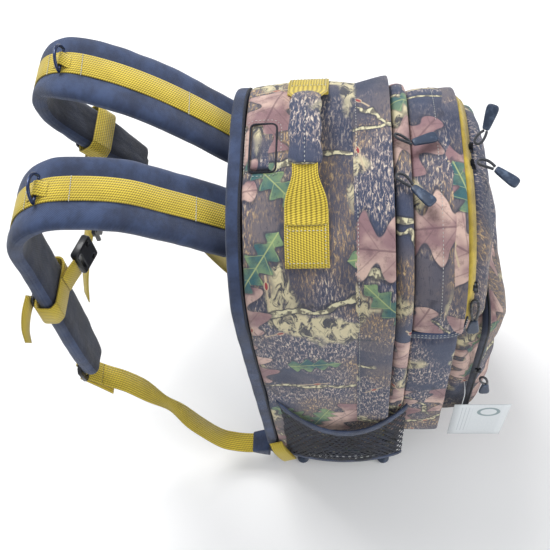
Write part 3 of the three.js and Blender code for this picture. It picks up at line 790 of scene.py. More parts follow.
def stitching(name, route, off, body, pitch=3.4, long=2.5, thick=0.38, material=None):
    """A line of stitches: small spindles along a route, off(i) being the direction off the cloth."""
    bm = bmesh.new()
    cloth = bm.loops.layers.uv.new("print")
    travelled = 0.0
    for i in range(len(route) - 1):
        step = route[i + 1] - route[i]
        if step.length < 1e-6:
            continue
        tangent = step.normalized()
        out = off(i)
        side = tangent.cross(out).normalized()
        while travelled < step.length:
            middle = route[i] + tangent * travelled + out * thick * 0.3
            tips = [bm.verts.new(middle + tangent * s * long / 2) for s in (-1, 1)]
            waist = [
                bm.verts.new(middle + (side * math.cos(a) + out * math.sin(a)) * thick)
                for a in (0, math.pi / 2, math.pi, 3 * math.pi / 2)
            ]
            for a, b in zip(waist, waist[1:] + waist[:1]):
                bm.faces.new((tips[0], b, a))
                bm.faces.new((tips[1], a, b))
            travelled += pitch
        travelled -= step.length
    for face in bm.faces:
        for loop in face.loops:
            loop[cloth].uv = (loop.vert.co.x * MM, loop.vert.co.z * MM)
    return piece(build(name, bm), material or THREAD, body, None)


def outline_stitching(name, arch, y, lift, body, foot, puff=lambda y, z: 0.0, **options):
    run = above(outline(arch, corner=24, side=60, level=30), foot)
    route = [Vector((x + nx * (lift + puff(y, z)), y, z + nz * (lift + puff(y, z)))) for x, z, nx, nz in run]
    outward = [Vector((nx, 0, nz)) for x, z, nx, nz in run]
    return stitching(name, route, lambda i: outward[i], body, **options)


def piping(name, route, radius, material, body, slot, closed=False):
    """A corded edge: a round tube along a route."""
    curve = bpy.data.curves.new(name, "CURVE")
    curve.dimensions = "3D"
    curve.bevel_depth = radius * MM
    curve.bevel_resolution = 2
    spline = curve.splines.new("POLY")
    spline.points.add(len(route) - 1)
    for point, place in zip(spline.points, route):
        point.co = (*(Vector(place) * MM), 1)
    spline.use_cyclic_u = closed
    curve_object = bpy.data.objects.new(name + "_curve", curve)
    bpy.context.collection.objects.link(curve_object)
    graph = bpy.context.evaluated_depsgraph_get()
    mesh = bpy.data.meshes.new_from_object(curve_object.evaluated_get(graph))
    mesh.polygons.foreach_set("use_smooth", [True] * len(mesh.polygons))
    bpy.data.objects.remove(curve_object)
    obj = bpy.data.objects.new(name, mesh)
    bpy.context.collection.objects.link(obj)
    flat_map(obj)
    return piece(obj, material, body, slot)


# ---- the zip pulls' cords ----
Pull = namedtuple("Pull", "at zip up eye grip body")
PULLS = {
    "main_left": Pull((-34, -38, 474.3), (1, 0, 0), (0, 0, 1), (-34, -44.2, 477.4),
                      ((-45, -57, 474.5), (-61, -73, 472.5)), "main_left_pull"),
    "main_right": Pull((8, -38, 474.3), (-1, 0, 0), (0, 0, 1), (8, -44.2, 477.4),
                       ((2, -59, 474.5), (10, -81, 472.5)), "main_right_pull"),
    "upper_left": Pull((-10, -110, 456.4), (1, 0, 0), (0, 0, 1), (-10, -116.2, 461),
                       ((-19, -130, 461.5), (-32, -149, 455)), "upper_left_pull"),
    "upper_right": Pull((8, -110, 456.4), (-1, 0, 0), (0, 0, 1), (9, -116.4, 461),
                        ((22, -125, 464), (34, -131, 484)), "upper_right_pull"),
    "upper_front": Pull((-104.9, -110, 406.4), (0.447, 0, 0.894), (-0.894, 0, 0.447), (-114, -111.5, 399),
                        ((-118.5, -114, 368), (-119.5, -115, 344)), "upper_front_pull"),
    "lower_front": Pull((-108.4, -134, 232), (0, 0, 1), (-1, 0, 0), (-113.5, -139.5, 224),
                        ((-114, -145, 206), (-114.5, -146, 182)), "lower_front_pull"),
}


def pull_axes(pull):
    """A pull's first grip point and its directions: along the grip, aside, and off its face."""
    top = Vector(pull.grip[0])
    along = (Vector(pull.grip[1]) - top).normalized()
    aside = along.cross(Vector(pull.up)).normalized()
    return top, along, aside, aside.cross(along)


def cord_route(pull):
    """Out from the grip, round the slider's eye and back."""
    top, along, aside, face = pull_axes(pull)
    eye = Vector(pull.eye)
    run = top - along * 1.2 - eye

    def point(share, offset, lift):
        return eye + run * share + aside * offset + Vector(pull.up).normalized() * lift

    half = [(1, 1.5, 0), (0.75, 2.6, 1), (0.4, 3.4, 1.4), (0.12, 2.8, 0.6)]
    back = [(share, -offset, lift) for share, offset, lift in reversed(half)]
    return smooth_route([point(*p) for p in [*half, (0, 0, 0), *back]], spacing=2.0)


def pull_cord(name, pull, grip):
    route = cord_route(pull)
    curve = bpy.data.curves.new(name + "_loop", "CURVE")
    curve.dimensions = "3D"
    curve.bevel_depth = CORD_DIAMETER / 2 * MM
    curve.bevel_resolution = 3
    curve.use_fill_caps = True
    spline = curve.splines.new("POLY")
    spline.points.add(len(route) - 1)
    for point, place in zip(spline.points, route):
        point.co = (*(place * MM), 1)
    obj = bpy.data.objects.new(name + "_loop", curve)
    bpy.context.collection.objects.link(obj)
    piece(obj, CORD_BRAID, pull.body, "black_cord", name + "_cord")


def pull_grip(name, pull):
    """A moulded paddle, narrow at the cord and wide at its tip."""
    top, along, aside, face = pull_axes(pull)
    sizes = [  # share of the length, half width, half thickness
        (0.0, 2.6, 1.6), (0.04, 3.4, 2.2), (0.2, 4.0, 2.3), (0.55, 5.2, 2.3),
        (0.8, 6.0, 2.2), (0.93, 5.4, 2.0), (1.0, 3.6, 1.2),
    ]
    rows = []
    for share, wide, thick in sizes:
        middle = top + along * GRIP_LENGTH * share
        ring = []
        for i in range(12):
            angle = 2 * math.pi * i / 12
            u = math.copysign(abs(math.cos(angle)) ** 0.6, math.cos(angle)) * wide
            v = math.copysign(abs(math.sin(angle)) ** 0.6, math.sin(angle)) * thick
            ring.append(middle + aside * u + face * v)
        rows.append(ring)
    obj = grid(name + "_paddle", rows, ring=True)
    subdivide(closed(obj), 2)
    return piece(obj, PLASTIC, pull.body, "navy_plastic", name + "_grip")


def pull_slider(name, pull):
    """A slider: a plate with flared shoulders and a raised bridge that holds the cord."""
    zip_line = Vector(pull.zip).normalized()
    up = Vector(pull.up).normalized()
    across = up.cross(zip_line)
    at = Vector(pull.at)
    bm = bmesh.new()

    def block(low, high, pinch):
        corners = []
        for x, share in ((low[0], 1.0), (high[0], pinch)):
            for y in (low[1], high[1]):
                for z in (low[2], high[2]):
                    corners.append(bm.verts.new(at + zip_line * x + across * y * share + up * z))
        for face in ((0, 1, 3, 2), (4, 6, 7, 5), (0, 4, 5, 1), (2, 3, 7, 6), (0, 2, 6, 4), (1, 5, 7, 3)):
            bm.faces.new([corners[i] for i in face])

    block((-6, -4.4, 0.1), (6, 4.4, 1.3), 0.7)
    block((-3.4, -1.3, 1.3), (3.4, 1.3, 2.3), 0.8)
    bmesh.ops.recalc_face_normals(bm, faces=bm.faces)
    bmesh.ops.bevel(bm, geom=bm.edges[:], offset=0.5, segments=2, affect="EDGES")
    return piece(build(name + "_runner", bm), SLIDER_METAL, pull.body, "slider_metal", name + "_slider")


set_camera()
for pull_name, pull_facts in PULLS.items():
    pull_slider(pull_name, pull_facts)
    pull_cord(pull_name, pull_facts, pull_grip(pull_name, pull_facts))


# ---- main compartment ----
def main_gusset():
    """The deep bag: its band from the back seam to the mouth, and its back wall."""
    ring = outline(GUSSET, corner=14, side=40, level=20)
    rows = []
    for share in (0.15, 0.5, 0.85, 0.97):
        middle = (GUSSET.low + GUSSET.high) / 2
        rows.append([(x * share, GUSSET.back, middle + (z - middle) * share) for x, z, nx, nz in ring])
    for y in spaced(GUSSET.back, MOUTH_Y, 22):
        rows.append([
            (x + nx * gusset_puff(y, z), y, z + nz * gusset_puff(y, z)) for x, z, nx, nz in ring
        ])
    obj = grid("main_gusset", rows, ring=True, filled=(0,))
    rumple(obj, 1.3, 40)
    thicken(subdivide(obj), 2.0, LINING)
    return piece(obj, CAMO, BASE_BODY, "camo_cloth", "main_compartment", inside=LINING)


def sill():
    """The low wall in front, under the lid."""
    points = [p for p in outline(GUSSET, corner=14, side=40, level=20) if p[1] <= SILL_TOP]
    turn = next(i for i, (a, b) in enumerate(zip(points, points[1:])) if a[0] > 0 > b[0] and a[1] > 30)
    run = points[turn + 1:] + points[:turn + 1]
    rows = [[(x, y, z) for x, z, nx, nz in run] for y in (MOUTH_Y, -46, -53, -56)]
    rows += [[(x - nx * 2, GUSSET.front, z - nz * 2) for x, z, nx, nz in run]]
    for share in (0.8, 0.5, 0.15):
        rows.append([(x * share, GUSSET.front, SILL_TOP + (z - SILL_TOP) * share) for x, z, nx, nz in run])
    obj = grid("sill", rows, shift=(0.4, 0.3), filled=(-1,))
    thicken(subdivide(obj), 2.0, LINING)
    return piece(obj, CAMO, BASE_BODY, "camo_cloth", inside=LINING)


def mouth_zip():
    """The zip's tape round the mouth, with its coil."""
    run = above(outline(GUSSET, margin=3, corner=14, side=40), SILL_TOP + 1)
    tape = grid("mouth_tape", [band_row(run, y, 0) for y in (-34, MOUTH_Y, -41.6)])
    thicken(tape, 0.8)
    piece(tape, TAPE, BASE_BODY, "zip_tape", "main_zip_tape")
    coil = [Vector((x, -41.0, z)) for x, z, nx, nz in run]
    piping("mouth_coil", coil, 1.1, BLACK_PLASTIC, BASE_BODY, "navy_plastic")


def storm_flap():
    obj = fold_flap("storm_fold", GUSSET, FLAP_SEAM_Y, -41.5, 126, 6.4, (0.9, 0.2), flap_room)
    rumple(obj, 0.4, 30, seed=4)
    subdivide(obj)
    piece(obj, CAMO, BASE_BODY, "camo_cloth", "storm_flap")
    outline_stitching("storm_stitches", GUSSET, FLAP_SEAM_Y - 1.5, 1.3, BASE_BODY, 126, gusset_puff)


def base_panel():
    low, high = (Vector(c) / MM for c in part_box("base_panel"))
    arch = Arch(high.x, low.y, high.y, 14, 14, 0, 0)
    flat = outline(arch, corner=6, side=6, level=6)
    middle = (low.y + high.y) / 2
    rows = []
    for share, z in ((0.3, low.z), (0.97, low.z), (1.0, low.z + 0.8), (1.0, high.z), (0.9, high.z)):
        rows.append([(x * share, middle + (y - middle) * share, z) for x, y, nx, ny in flat])
    obj = grid("base_pad", rows, ring=True)
    piece(obj, NAVY_DARK, BASE_BODY, "navy_cloth", "base_panel")
    for i, (x, y) in enumerate(((-131, -40), (131, -40), (-131, 62), (131, 62))):
        bm = bmesh.new()
        bmesh.ops.create_uvsphere(bm, u_segments=16, v_segments=8, radius=6)
        for vert in bm.verts:
            vert.co = Vector((vert.co.x * 1.3 + x, vert.co.y * 1.3 + y, max(vert.co.z, -6) * 0.7 + 4.6))
        piece(build(f"foot_{i}", bm), PLASTIC, BASE_BODY, "navy_plastic")


def back_panel():
    """Foam under cloth against the wearer: a rim and three channelled pads."""
    ring = outline(BACK, corner=14, side=40, level=20)
    middle = (BACK.low + BACK.high) / 2
    profile = [(0.3, 0.0, 5), (0.9, 0.0, 3), (1, 3, 0.0), (1, 0.4, 1.0), (1, 0, 4), (1, 0, 9), (1, 0.6, 12.6), (1, 3.4, 14)]
    rows = []
    for share, margin, depth in profile:
        rows.append([
            (x * share - nx * margin, BACK.front + depth, middle + (z - middle) * share - nz * margin)
            for x, z, nx, nz in ring
        ])
    for share in (0.93, 0.8, 0.55, 0.25, 0.05):
        rows.append([
            (x * share, BACK.back - 1.4 * (share < 0.9), middle + (z - middle) * share)
            for x, z, nx, nz in ring
        ])
    obj = grid("back_shell", rows, ring=True)
    rumple(obj, 0.6, 30, seed=2)
    subdivide(obj)
    piece(obj, NAVY, BASE_BODY, "navy_cloth", "back_panel")
    seam = [Vector((x - nx * 1.2, BACK.front + 1.5, z - nz * 1.2)) for x, z, nx, nz in ring]
    piping("back_piping", seam, 1.1, NAVY_DARK, BASE_BODY, "navy_cloth", closed=True)
    for name, low, high, half in (("upper_back_pad", 300, 388, 92), ("middle_back_pad", 188, 290, 92),
                                  ("lower_back_pad", 60, 178, 92)):
        pad_arch = Arch(half, low, high, 16, 16, 0, 0)
        edge = outline(pad_arch, corner=8, side=12, level=12)
        centre = (low + high) / 2
        rows = []
        for share, out in ((1.0, -1.5), (1.0, 1.0), (0.95, 3.2), (0.8, 4.6), (0.5, 5.2), (0.15, 5.2)):
            rows.append([(x * share, BACK.back + out, centre + (z - centre) * share) for x, z, nx, nz in edge])
        pad = closed(grid(name, rows, ring=True))
        map_by(pad, lambda co: (co.x, co.z))
        subdivide(pad)
        piece(pad, NAVY_DARK, BASE_BODY, "navy_cloth")


def inside_fittings():
    """The stiffening sheet and the sleeve for a water bladder."""
    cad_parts["frame_sheet"].data.materials.clear()
    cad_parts["frame_sheet"].data.materials.append(SHEET_PLASTIC)
    low, high = (Vector(c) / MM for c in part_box("hydration_sleeve"))
    rows = []
    for z in spaced(low.z, high.z, 14):
        rows.append([
            (x, (low.y + high.y) / 2 + 0.8 * math.sin(x / 21) * math.sin(z / 37), z)
            for x in spaced(low.x, high.x, 16)
        ])
    sleeve = grid("bladder_sleeve", rows)
    thicken(sleeve, 0.9)
    piece(sleeve, LINING, BASE_BODY, "lining_cloth", "hydration_sleeve")
    binding = [Vector((x, (low.y + high.y) / 2, high.z)) for x in spaced(low.x, high.x, 12)]
    piping("sleeve_binding", binding, 1.6, NAVY, BASE_BODY, "navy_cloth")


main_gusset()
sill()
mouth_zip()
storm_flap()
base_panel()
back_panel()
inside_fittings()


# ---- lid and its compartments ----
def lid_shell():
    obj = dressed_band("lid_shell", LID, LID.front, LID.back, 3.0, (0.2, 0.9), cap=True)
    rumple(obj, 0.6, 26, seed=6)
    thicken(subdivide(obj), 1.6, LINING)
    piece(obj, CAMO, "front_lid", "camo_cloth", "front_panel", inside=LINING)


def compartment(name, arch, node, shift, seed):
    """A gusset round the arch with its edge turned in at the front."""
    obj = dressed_band(name, arch, arch.front + 1.5, arch.back, 3.5, shift, count=11, cap=True)
    rumple(obj, 1.2, 30, seed=seed)
    thicken(subdivide(obj), 1.6, LINING)
    return piece(obj, CAMO, "front_lid", "camo_cloth", node, inside=LINING)


def zip_flap(name, arch, seam_y, edge_y, foot, shift):
    obj = fold_flap(name, arch, seam_y, edge_y, foot, 3.0, shift,
                    lambda y, z: 0.3 * puff_at(y, arch.front, arch.back))
    rumple(obj, 0.6, 24, seed=9)
    subdivide(obj)
    piece(obj, CAMO, "front_lid", "camo_cloth")
    outline_stitching(name + "_stitches", arch, seam_y - 2.0, 3.2, "front_lid", foot)


def front_zip(name, arch, back, tape_material, foot, rise):
    """A zip round a front pocket: tape that slopes in by rise, and the coil that the sliders ride on."""
    outer = resampled(above(outline(arch, margin=-1 - rise, corner=16, side=30), foot), 90)
    inner = resampled(above(outline(arch, margin=-1, corner=16, side=30), foot), 90)
    rows = [band_row(outer, back, 0), band_row(inner, back - 8, 0)]
    tape = grid(name + "_tape", rows)
    thicken(tape, 0.8)
    piece(tape, tape_material, "front_lid", "zip_tape")
    on_track = resampled(above(outline(arch, corner=16, side=30), foot), 90)
    coil = [Vector((x + nx * 0.6, back - ZIP_INSET, z + nz * 0.6)) for x, z, nx, nz in on_track]
    piping(name + "_coil", coil, 1.1, BLACK_PLASTIC, "front_lid", "navy_plastic")


def front_pocket(name, arch, node, edge, cap, shift):
    """A pouch on the front: a closed pad whose back is held, filled with air so that its cloth pulls at the seams."""
    rows = []
    middle = (arch.low + arch.high) / 2
    ring = outline(arch, margin=3, corner=10, side=16, level=14)
    depth = arch.back - arch.front

    def row(share, y, margin=0.0):
        return [(x * share - nx * margin, y, middle + (z - middle) * share - nz * margin) for x, z, nx, nz in ring]

    rows.append(row(0.3, arch.back))
    rows.append(row(1.0, arch.back))
    rows.append(row(1.0, arch.back - depth * 0.45))
    for turn in (20, 45, 70, 90):
        angle = math.radians(turn)
        rows.append(row(1.0, arch.front + 4 + edge * (1 - math.sin(angle)), edge * (1 - math.cos(angle))))
    for share in (0.8, 0.55, 0.3):
        rows.append(row(share, arch.front + 4))
    obj = grid(name, rows, ring=True)
    inflate(closed(obj), 5.0, cap, lambda p: p.y > arch.back - 5)
    rumple(obj, 1.5, 34, seed=arch.half)
    flat_map(obj, shift, arch.front * MM)
    subdivide(obj)
    piece(obj, CAMO, "front_lid", "camo_cloth", node)
    return obj


def compartment_binding():
    """A bound seam along the upper compartment's lower edge, stitched twice."""
    for side in (-1, 1):
        x = side * (UPPER.half + 2.2)
        route = smooth_route([
            (x, UPPER.back + 1, 358), (x + side, -80, 357), (x, -97, 359), (x - side * 2, -104, 366),
            (x - side * 4, -106, 380),
        ], spacing=3)
        band = sweep(f"compartment_binding_{side + 1}", route, ribbon(12, -1.0, 1.0), along_z)
        piece(band, NAVY, "front_lid", "navy_cloth")
        for n, height in enumerate((-2.2, 2.2)):
            line = [p + Vector((side * 1.3, 0, height)) for p in route]
            stitching(f"binding_stitches_{side + 1}_{n}", line, lambda i: Vector((side, 0, 0)), "front_lid", pitch=3.4)


lid_shell()
compartment_binding()
compartment("upper_gusset", UPPER, "upper_compartment", (0.55, 0.1), 11)
compartment("lower_gusset", LOWER, "lower_compartment", (0.05, 0.62), 13)
zip_flap("upper_flap", UPPER, -80, -103.5, 356, (0.31, 0.77))
front_zip("upper_zip", UPPER_FRONT, UPPER.front + 0.6, TAPE, 364, 7)
front_zip("lower_zip", LOWER_FRONT, PULLS["lower_front"].at[1] + ZIP_INSET, NAVY_DARK, 112, 0)
front_pocket("upper_pouch", UPPER_FRONT, "upper_front_pocket", 12, 6, (0.77, 0.44))
front_pocket("lower_pouch", LOWER_FRONT, "lower_front_pocket", 22, 7, (0.12, 0.05))


# ---- mesh side pockets ----
def mesh_pocket(side, node):
    low, high = (Vector(c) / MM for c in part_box(node))
    inner = GUSSET.half + 0.6
    depth = max(abs(low.x), abs(high.x)) - inner
    name = "near_net" if side < 0 else "far_net"

    def rim(y):
        t = (y - low.y) / (high.y - low.y)
        return (1 - t) ** 2 * (high.z - 14) + 2 * t * (1 - t) * 72 + t ** 2 * high.z

    def wall(y, z):
        t = (y - low.y) / (high.y - low.y)
        belly = depth * math.sin(math.pi * t) ** 0.7
        squeeze = 0.75 + 0.25 * math.sin(math.pi * min((z - low.z) / 90, 1))
        return side * (inner + belly * squeeze)

    ys = spaced(low.y, high.y, 34)
    rows = []
    for share in spaced(0, 1, 16):
        rows.append([(wall(y, low.z + (rim(y) - low.z) * share), y, low.z + (rim(y) - low.z) * share) for y in ys])
    floor = [(side * inner * 0.99, y, low.z) for y in ys]
    net = grid(name, [floor, *rows])
    rumple(net, 0.8, 18, seed=side)
    piece(net, MESH, BASE_BODY, "navy_mesh", node)
    edge = [Vector((wall(y, rim(y)), y, rim(y))) for y in ys]
    band = sweep(name + "_elastic", edge, ribbon(15, -0.9, 0.9), lambda t: Vector((0, 0, 1)))
    rumple(band, 0.8, 9, seed=3)
    piece(band, NAVY, BASE_BODY, "navy_mesh")
    foot = [Vector((wall(y, low.z), y, low.z + 3)) for y in ys]
    hem = sweep(name + "_hem", foot, ribbon(9, -0.7, 0.7), along_z)
    piece(hem, NAVY, BASE_BODY, "navy_mesh")


mesh_pocket(-1, "left_mesh_pocket")
mesh_pocket(1, "right_mesh_pocket")


# ---- haul handle and the hose slot ----
def shoulder_point(side, degrees, lift):
    """A point over the arch's shoulder at the handle, an angle down from its flat top."""
    angle = math.radians(degrees)
    radius = GUSSET.top + gusset_puff(HANDLE_Y, 400) + lift
    return Vector((
        side * (GUSSET.half - GUSSET.top + radius * math.sin(angle)),
        HANDLE_Y,
        GUSSET.high - GUSSET.top + radius * math.cos(angle),
    ))


def handle_patch(side, node):
    route = [shoulder_point(side, a, 1.2) for a in spaced(18, 46, 12)]
    name = node.replace("handle", "sewn")
    patch = sweep(name, route, ribbon(HANDLE_WIDTH, -0.8, 0.8), along_y)
    piece(patch, MUSTARD, BASE_BODY, "yellow_webbing", node)
    half = HANDLE_WIDTH / 2 - 3
    outward = [(p - Vector((side * 32, HANDLE_Y, 374))).normalized() for p in route]
    corners = [(3, -half), (3, half), (len(route) - 2, half), (len(route) - 2, -half)]

    def spot(i, offset):
        return route[i] + Vector((0, offset, 0)) + outward[i] * 1.0

    lines = [[spot(corners[0][0], o) for o in spaced(-half, half, 8)],
             [spot(corners[2][0], o) for o in spaced(-half, half, 8)]]
    rows = range(corners[0][0], corners[2][0] + 1)
    lines += [[spot(i, o) for i in rows] for o in (-half, half)]
    lines.append([spot(corners[0][0] + 1, o) for o in spaced(-half, half, 8)])
    for n, line in enumerate(lines):
        stitching(f"{name}_stitches_{n}", line, lambda i: outward[len(outward) // 2], BASE_BODY, pitch=3.4, long=2.4)


HANDLE_TOP = 502
HANDLE_POINTS = [(-48, HANDLE_Y, 489), (-28, HANDLE_Y, 499), (2, HANDLE_Y, 504), (30, HANDLE_Y, 500), (48, HANDLE_Y, 489)]


def haul_handle():
    route = smooth_route([
        shoulder_point(-1, 26, 2.4), shoulder_point(-1, 21, 2.8), *HANDLE_POINTS,
        shoulder_point(1, 21, 2.8), shoulder_point(1, 26, 2.4),
    ], spacing=4)

    def width(share):
        t = min(max((min(share, 1 - share) - 0.09) / 0.16, 0), 1)
        return HANDLE_WIDTH + (22 - HANDLE_WIDTH) * t * t * (3 - 2 * t)

    def section(share):
        half = width(share) / 2
        roll = 0.25 * (HANDLE_WIDTH / 2 - half)
        return [
            (-half, -1 - roll), (-half * 0.6, -1.2), (0, -1), (half * 0.6, -1.2), (half, -1 - roll),
            (half, 0.8 - roll), (half * 0.6, 1.2), (0, 1.4), (-half * 0.6, 1.2), (-half, 0.8 - roll),
        ]

    middle = len(route) // 2
    for name, part in (("near", route[:middle + 2]), ("far", route[middle - 1:][::-1])):
        half = sweep(f"{name}_handle_webbing", part, lambda t: section(t * 0.5), along_y)
        subdivide(half)
        settled(half)
        bridge(half, MUSTARD, "yellow_webbing", (BASE_BODY, "haul_handle"), part[0], part[len(part) // 2],
               "haul_handle")

    first = round(len(route) * 0.29)
    last = round(len(route) * 0.79)
    covered = route[first:last]

    def sleeve_section(share):
        swell = 1 + 0.06 * math.sin(share * 19)
        return [(14 * math.cos(a) * swell, 5.2 * math.sin(a) * swell + 0.4)
                for a in (2 * math.pi * i / 20 for i in range(20))]

    sleeve = sweep("grip_sleeve", covered, sleeve_section, along_y, shift=(0.37, 0.51))
    rumple(sleeve, 0.8, 14, seed=5)
    subdivide(sleeve)
    piece(sleeve, CAMO, "haul_handle", "camo_cloth", "handle_grip")
    ridge = [p + Vector((0, 0, 5.7)) for p in covered]
    stitching("grip_stitches", ridge, lambda i: Vector((0, 0, 1)), "haul_handle", pitch=4, long=2.6)


def hose_port():
    """A framed slot on the top with a flap of cloth in it."""
    low, high = (Vector(c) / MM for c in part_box("hose_port_flap"))
    rise = gusset_puff((low.y + high.y) / 2, 400)
    z = GUSSET.high + rise + 0.6
    centre = ((low.x + high.x) / 2, (low.y + high.y) / 2)
    arch = Arch((high.x - low.x) / 2, low.y, high.y, 5, 5, 0, 0)
    ring = outline(arch, corner=6, side=6, level=10)
    rim = [Vector((centre[0] + x, y, z)) for x, y, nx, ny in ring]
    piping("hose_binding", rim, 0.9, NAVY_DARK, BASE_BODY, "navy_cloth", closed=True)
    flap_rows = []
    for share in (1.0, 0.7, 0.35):
        flap_rows.append([
            (centre[0] + (x - nx * 1.4) * share, centre[1] + (y - ny * 1.4 - centre[1]) * share, z - 0.3 + 0.5 * (1 - share))
            for x, y, nx, ny in ring
        ])
    flap = closed(grid("hose_flap", flap_rows, ring=True))
    map_by(flap, lambda co: (0.58 + co.y, 0.47 + co.x))
    piece(flap, CAMO, BASE_BODY, "camo_cloth", "hose_port_flap")
    edge = [Vector((centre[0] + x + nx * 4.2, y + ny * 4.2, z + 0.2)) for x, y, nx, ny in ring]
    stitching("hose_stitches", edge + edge[:1], lambda i: Vector((0, 0, 1)), BASE_BODY, pitch=3.6, long=2.4)


handle_patch(-1, "left_handle_patch")
handle_patch(1, "right_handle_patch")
haul_handle()
hose_port()


# ---- shoulder straps ----
STRAPS = {
    "left": [
        (-48, 108, 438), (-50, 130, 455), (-54, 155, 475), (-59, 182, 497), (-66, 212, 513),
        (-73, 244, 521), (-77, 268, 509), (-80, 282, 480), (-84, 284, 449), (-88, 283, 412),
        (-92, 282, 372), (-96, 281, 332), (-100, 280, 292), (-104, 279, 252),
    ],
    "right": [
        (48, 108, 451), (52, 138, 475), (58, 173, 496), (64, 209, 511), (70, 245, 518),
        (76, 273, 508), (81, 290, 480), (86, 291, 447), (90, 276, 414), (94, 260, 386),
        (98, 244, 358), (102, 228, 330),
    ],
}
LOCK_LIFT = 5.2  # from a strap's face to the middle of its ladder lock
THREADED = 6  # how many points of a lower webbing's route bend with its ladder lock
STRAP_ROOT = 11  # how far each strap runs into the back seam
RING_AT = {"left": 0.37, "right": 0.42}
LOOP_AT = {"left": 0.7, "right": 0.82}
TWIST = {"left": 1.15, "right": 0.4}  # how far each adjuster turns over on its way, in radians
LOWER_ROUTES = {
    "left": [
        (-104, 288, 236), (-104, 270, 214), (-106, 247, 196), (-110, 218, 154),
        (-118, 186, 92), (-121, 164, 52), (-122, 146, 40), (-123, 128, 38),
    ],
    "right": [
        (102, 224, 304), (104, 214, 262), (108, 200, 200), (114, 184, 130),
        (119, 168, 76), (121, 156, 50), (122, 142, 40), (123, 128, 38),
    ],
}


def strap_half_width(share):
    """The pad's half width: wide over the shoulder, narrower down the chest, then rounded in to its tip."""
    past = min(max((share - 0.42) / 0.18, 0), 1)
    width = STRAP_WIDTH + (CHEST_WIDTH - STRAP_WIDTH) * past * past * (3 - 2 * past)
    tip = (1 - share) / 0.16
    if tip < 1:
        width = 34 + (width - 34) * math.sin(max(tip, 0) * math.pi / 2)
    return width / 2


def strap_section(share):
    """Foam that swells each side of the webbing, with a seam along each edge."""
    half = strap_half_width(share)
    inner = WEBBING_WIDTH / 2
    side = [
        (inner / 2, 0.0), (inner + 0.4, 0.2), ((inner * 2 + half) / 3, 1.9), ((inner + half * 2) / 3, 2.2),
        (half - 3, 0.6), (half - 0.3, -2.6), (half, -6.2), (half - 0.9, -7.0), (half - 0.5, -8.4),
        (half - 3, -STRAP_THICKNESS + 2), (half * 0.6, -STRAP_THICKNESS), (half * 0.2, -STRAP_THICKNESS + 0.6),
    ]
    return side + [(-u, v) for u, v in reversed(side)]


def shoulder_strap(side):
    """A padded strap, sewn into the back seam at its root, with webbing along its outer face."""
    first, second = (Vector(p) for p in STRAPS[side][:2])
    rooted = [first + (first - second).normalized() * STRAP_ROOT, *STRAPS[side]]
    route = smooth_route(rooted, spacing=5)
    body = f"{side}_strap"
    pad = sweep(f"{side}_pad", route, strap_section, along_x)
    across = len(strap_section(0))
    for face in pad.data.polygons:
        under = 9 <= face.index % across <= across - 11
        face.material_index = int(under and len(face.vertices) == 4)
    rumple(pad, 0.8, 24, seed=7)
    subdivide(pad)
    piece(pad, NAVY, body, "navy_cloth", f"{side}_shoulder_strap", inside=NAVY_DARK)

    fine = smooth_route(rooted, spacing=3)
    webbing = sweep(f"{side}_pad_webbing", fine, ribbon(WEBBING_WIDTH, 0.3, 0.3 + WEBBING), along_x)
    piece(webbing, MUSTARD, body, "yellow_webbing", f"{side}_strap_webbing")

    steps = frames(fine, along_x)
    shares = (RING_AT[side] - 0.28, RING_AT[side] - 0.03, RING_AT[side] + 0.05, LOOP_AT[side] + 0.09)
    for n, share in enumerate(shares):
        point, sideways, out, tangent = steps[round(share * (len(steps) - 1))]
        line = [point + sideways * u + tangent * 0.06 * u + out * (WEBBING + 0.6) for u in spaced(-13, 13, 9)]
        stitching(f"{side}_tack_{n}", line, lambda i: out, body, pitch=2.4, long=2.6, thick=0.5)


def keeper(name, at, along, out, height, half_length, width, body):
    """A fold of webbing over a ring or a bar, sewn down on each side of it."""
    shape = ((-1, 0), (-0.6, 0.25), (-0.32, 0.72), (0, 1), (0.32, 0.72), (0.6, 0.25), (1, 0))
    fold = smooth_route([at + along * t * half_length + out * (1 + h * height) for t, h in shape], spacing=2)
    obj = sweep(name, fold, ribbon(width, -0.6, 0.6), along_x)
    piece(obj, MUSTARD, body, "yellow_webbing")


def d_ring(side):
    """A D of coated wire on a loop of webbing."""
    low, high = (Vector(c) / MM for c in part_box(f"{side}_d_ring"))
    route = smooth_route(STRAPS[side], spacing=3)
    steps = frames(route, along_x)
    place = min(steps, key=lambda step: (step[0] - Vector(((low.x + high.x) / 2, low.y, low.z))).length)
    point, sideways, out, tangent = place
    base = (low + high) / 2 - out * ((high.z - low.z) / 2 - 1.9)
    radius = 13.5
    wire = [base + sideways * radius * math.cos(a) + out * (radius - 1) * math.sin(a)
            for a in (math.pi * i / 24 for i in range(25))]
    wire += [base + sideways * u for u in spaced(-radius, radius, 9)[1:-1]]
    obj = piping(f"{side}_ring_wire", wire, 1.5, RING_METAL, f"{side}_ring", "ring_metal", closed=True)
    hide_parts(f"{side}_d_ring")
    under = base - out * (base - point).dot(out)
    keeper(f"{side}_ring_keeper", under, tangent, out, 6.5, 8.5, 15, f"{side}_strap")


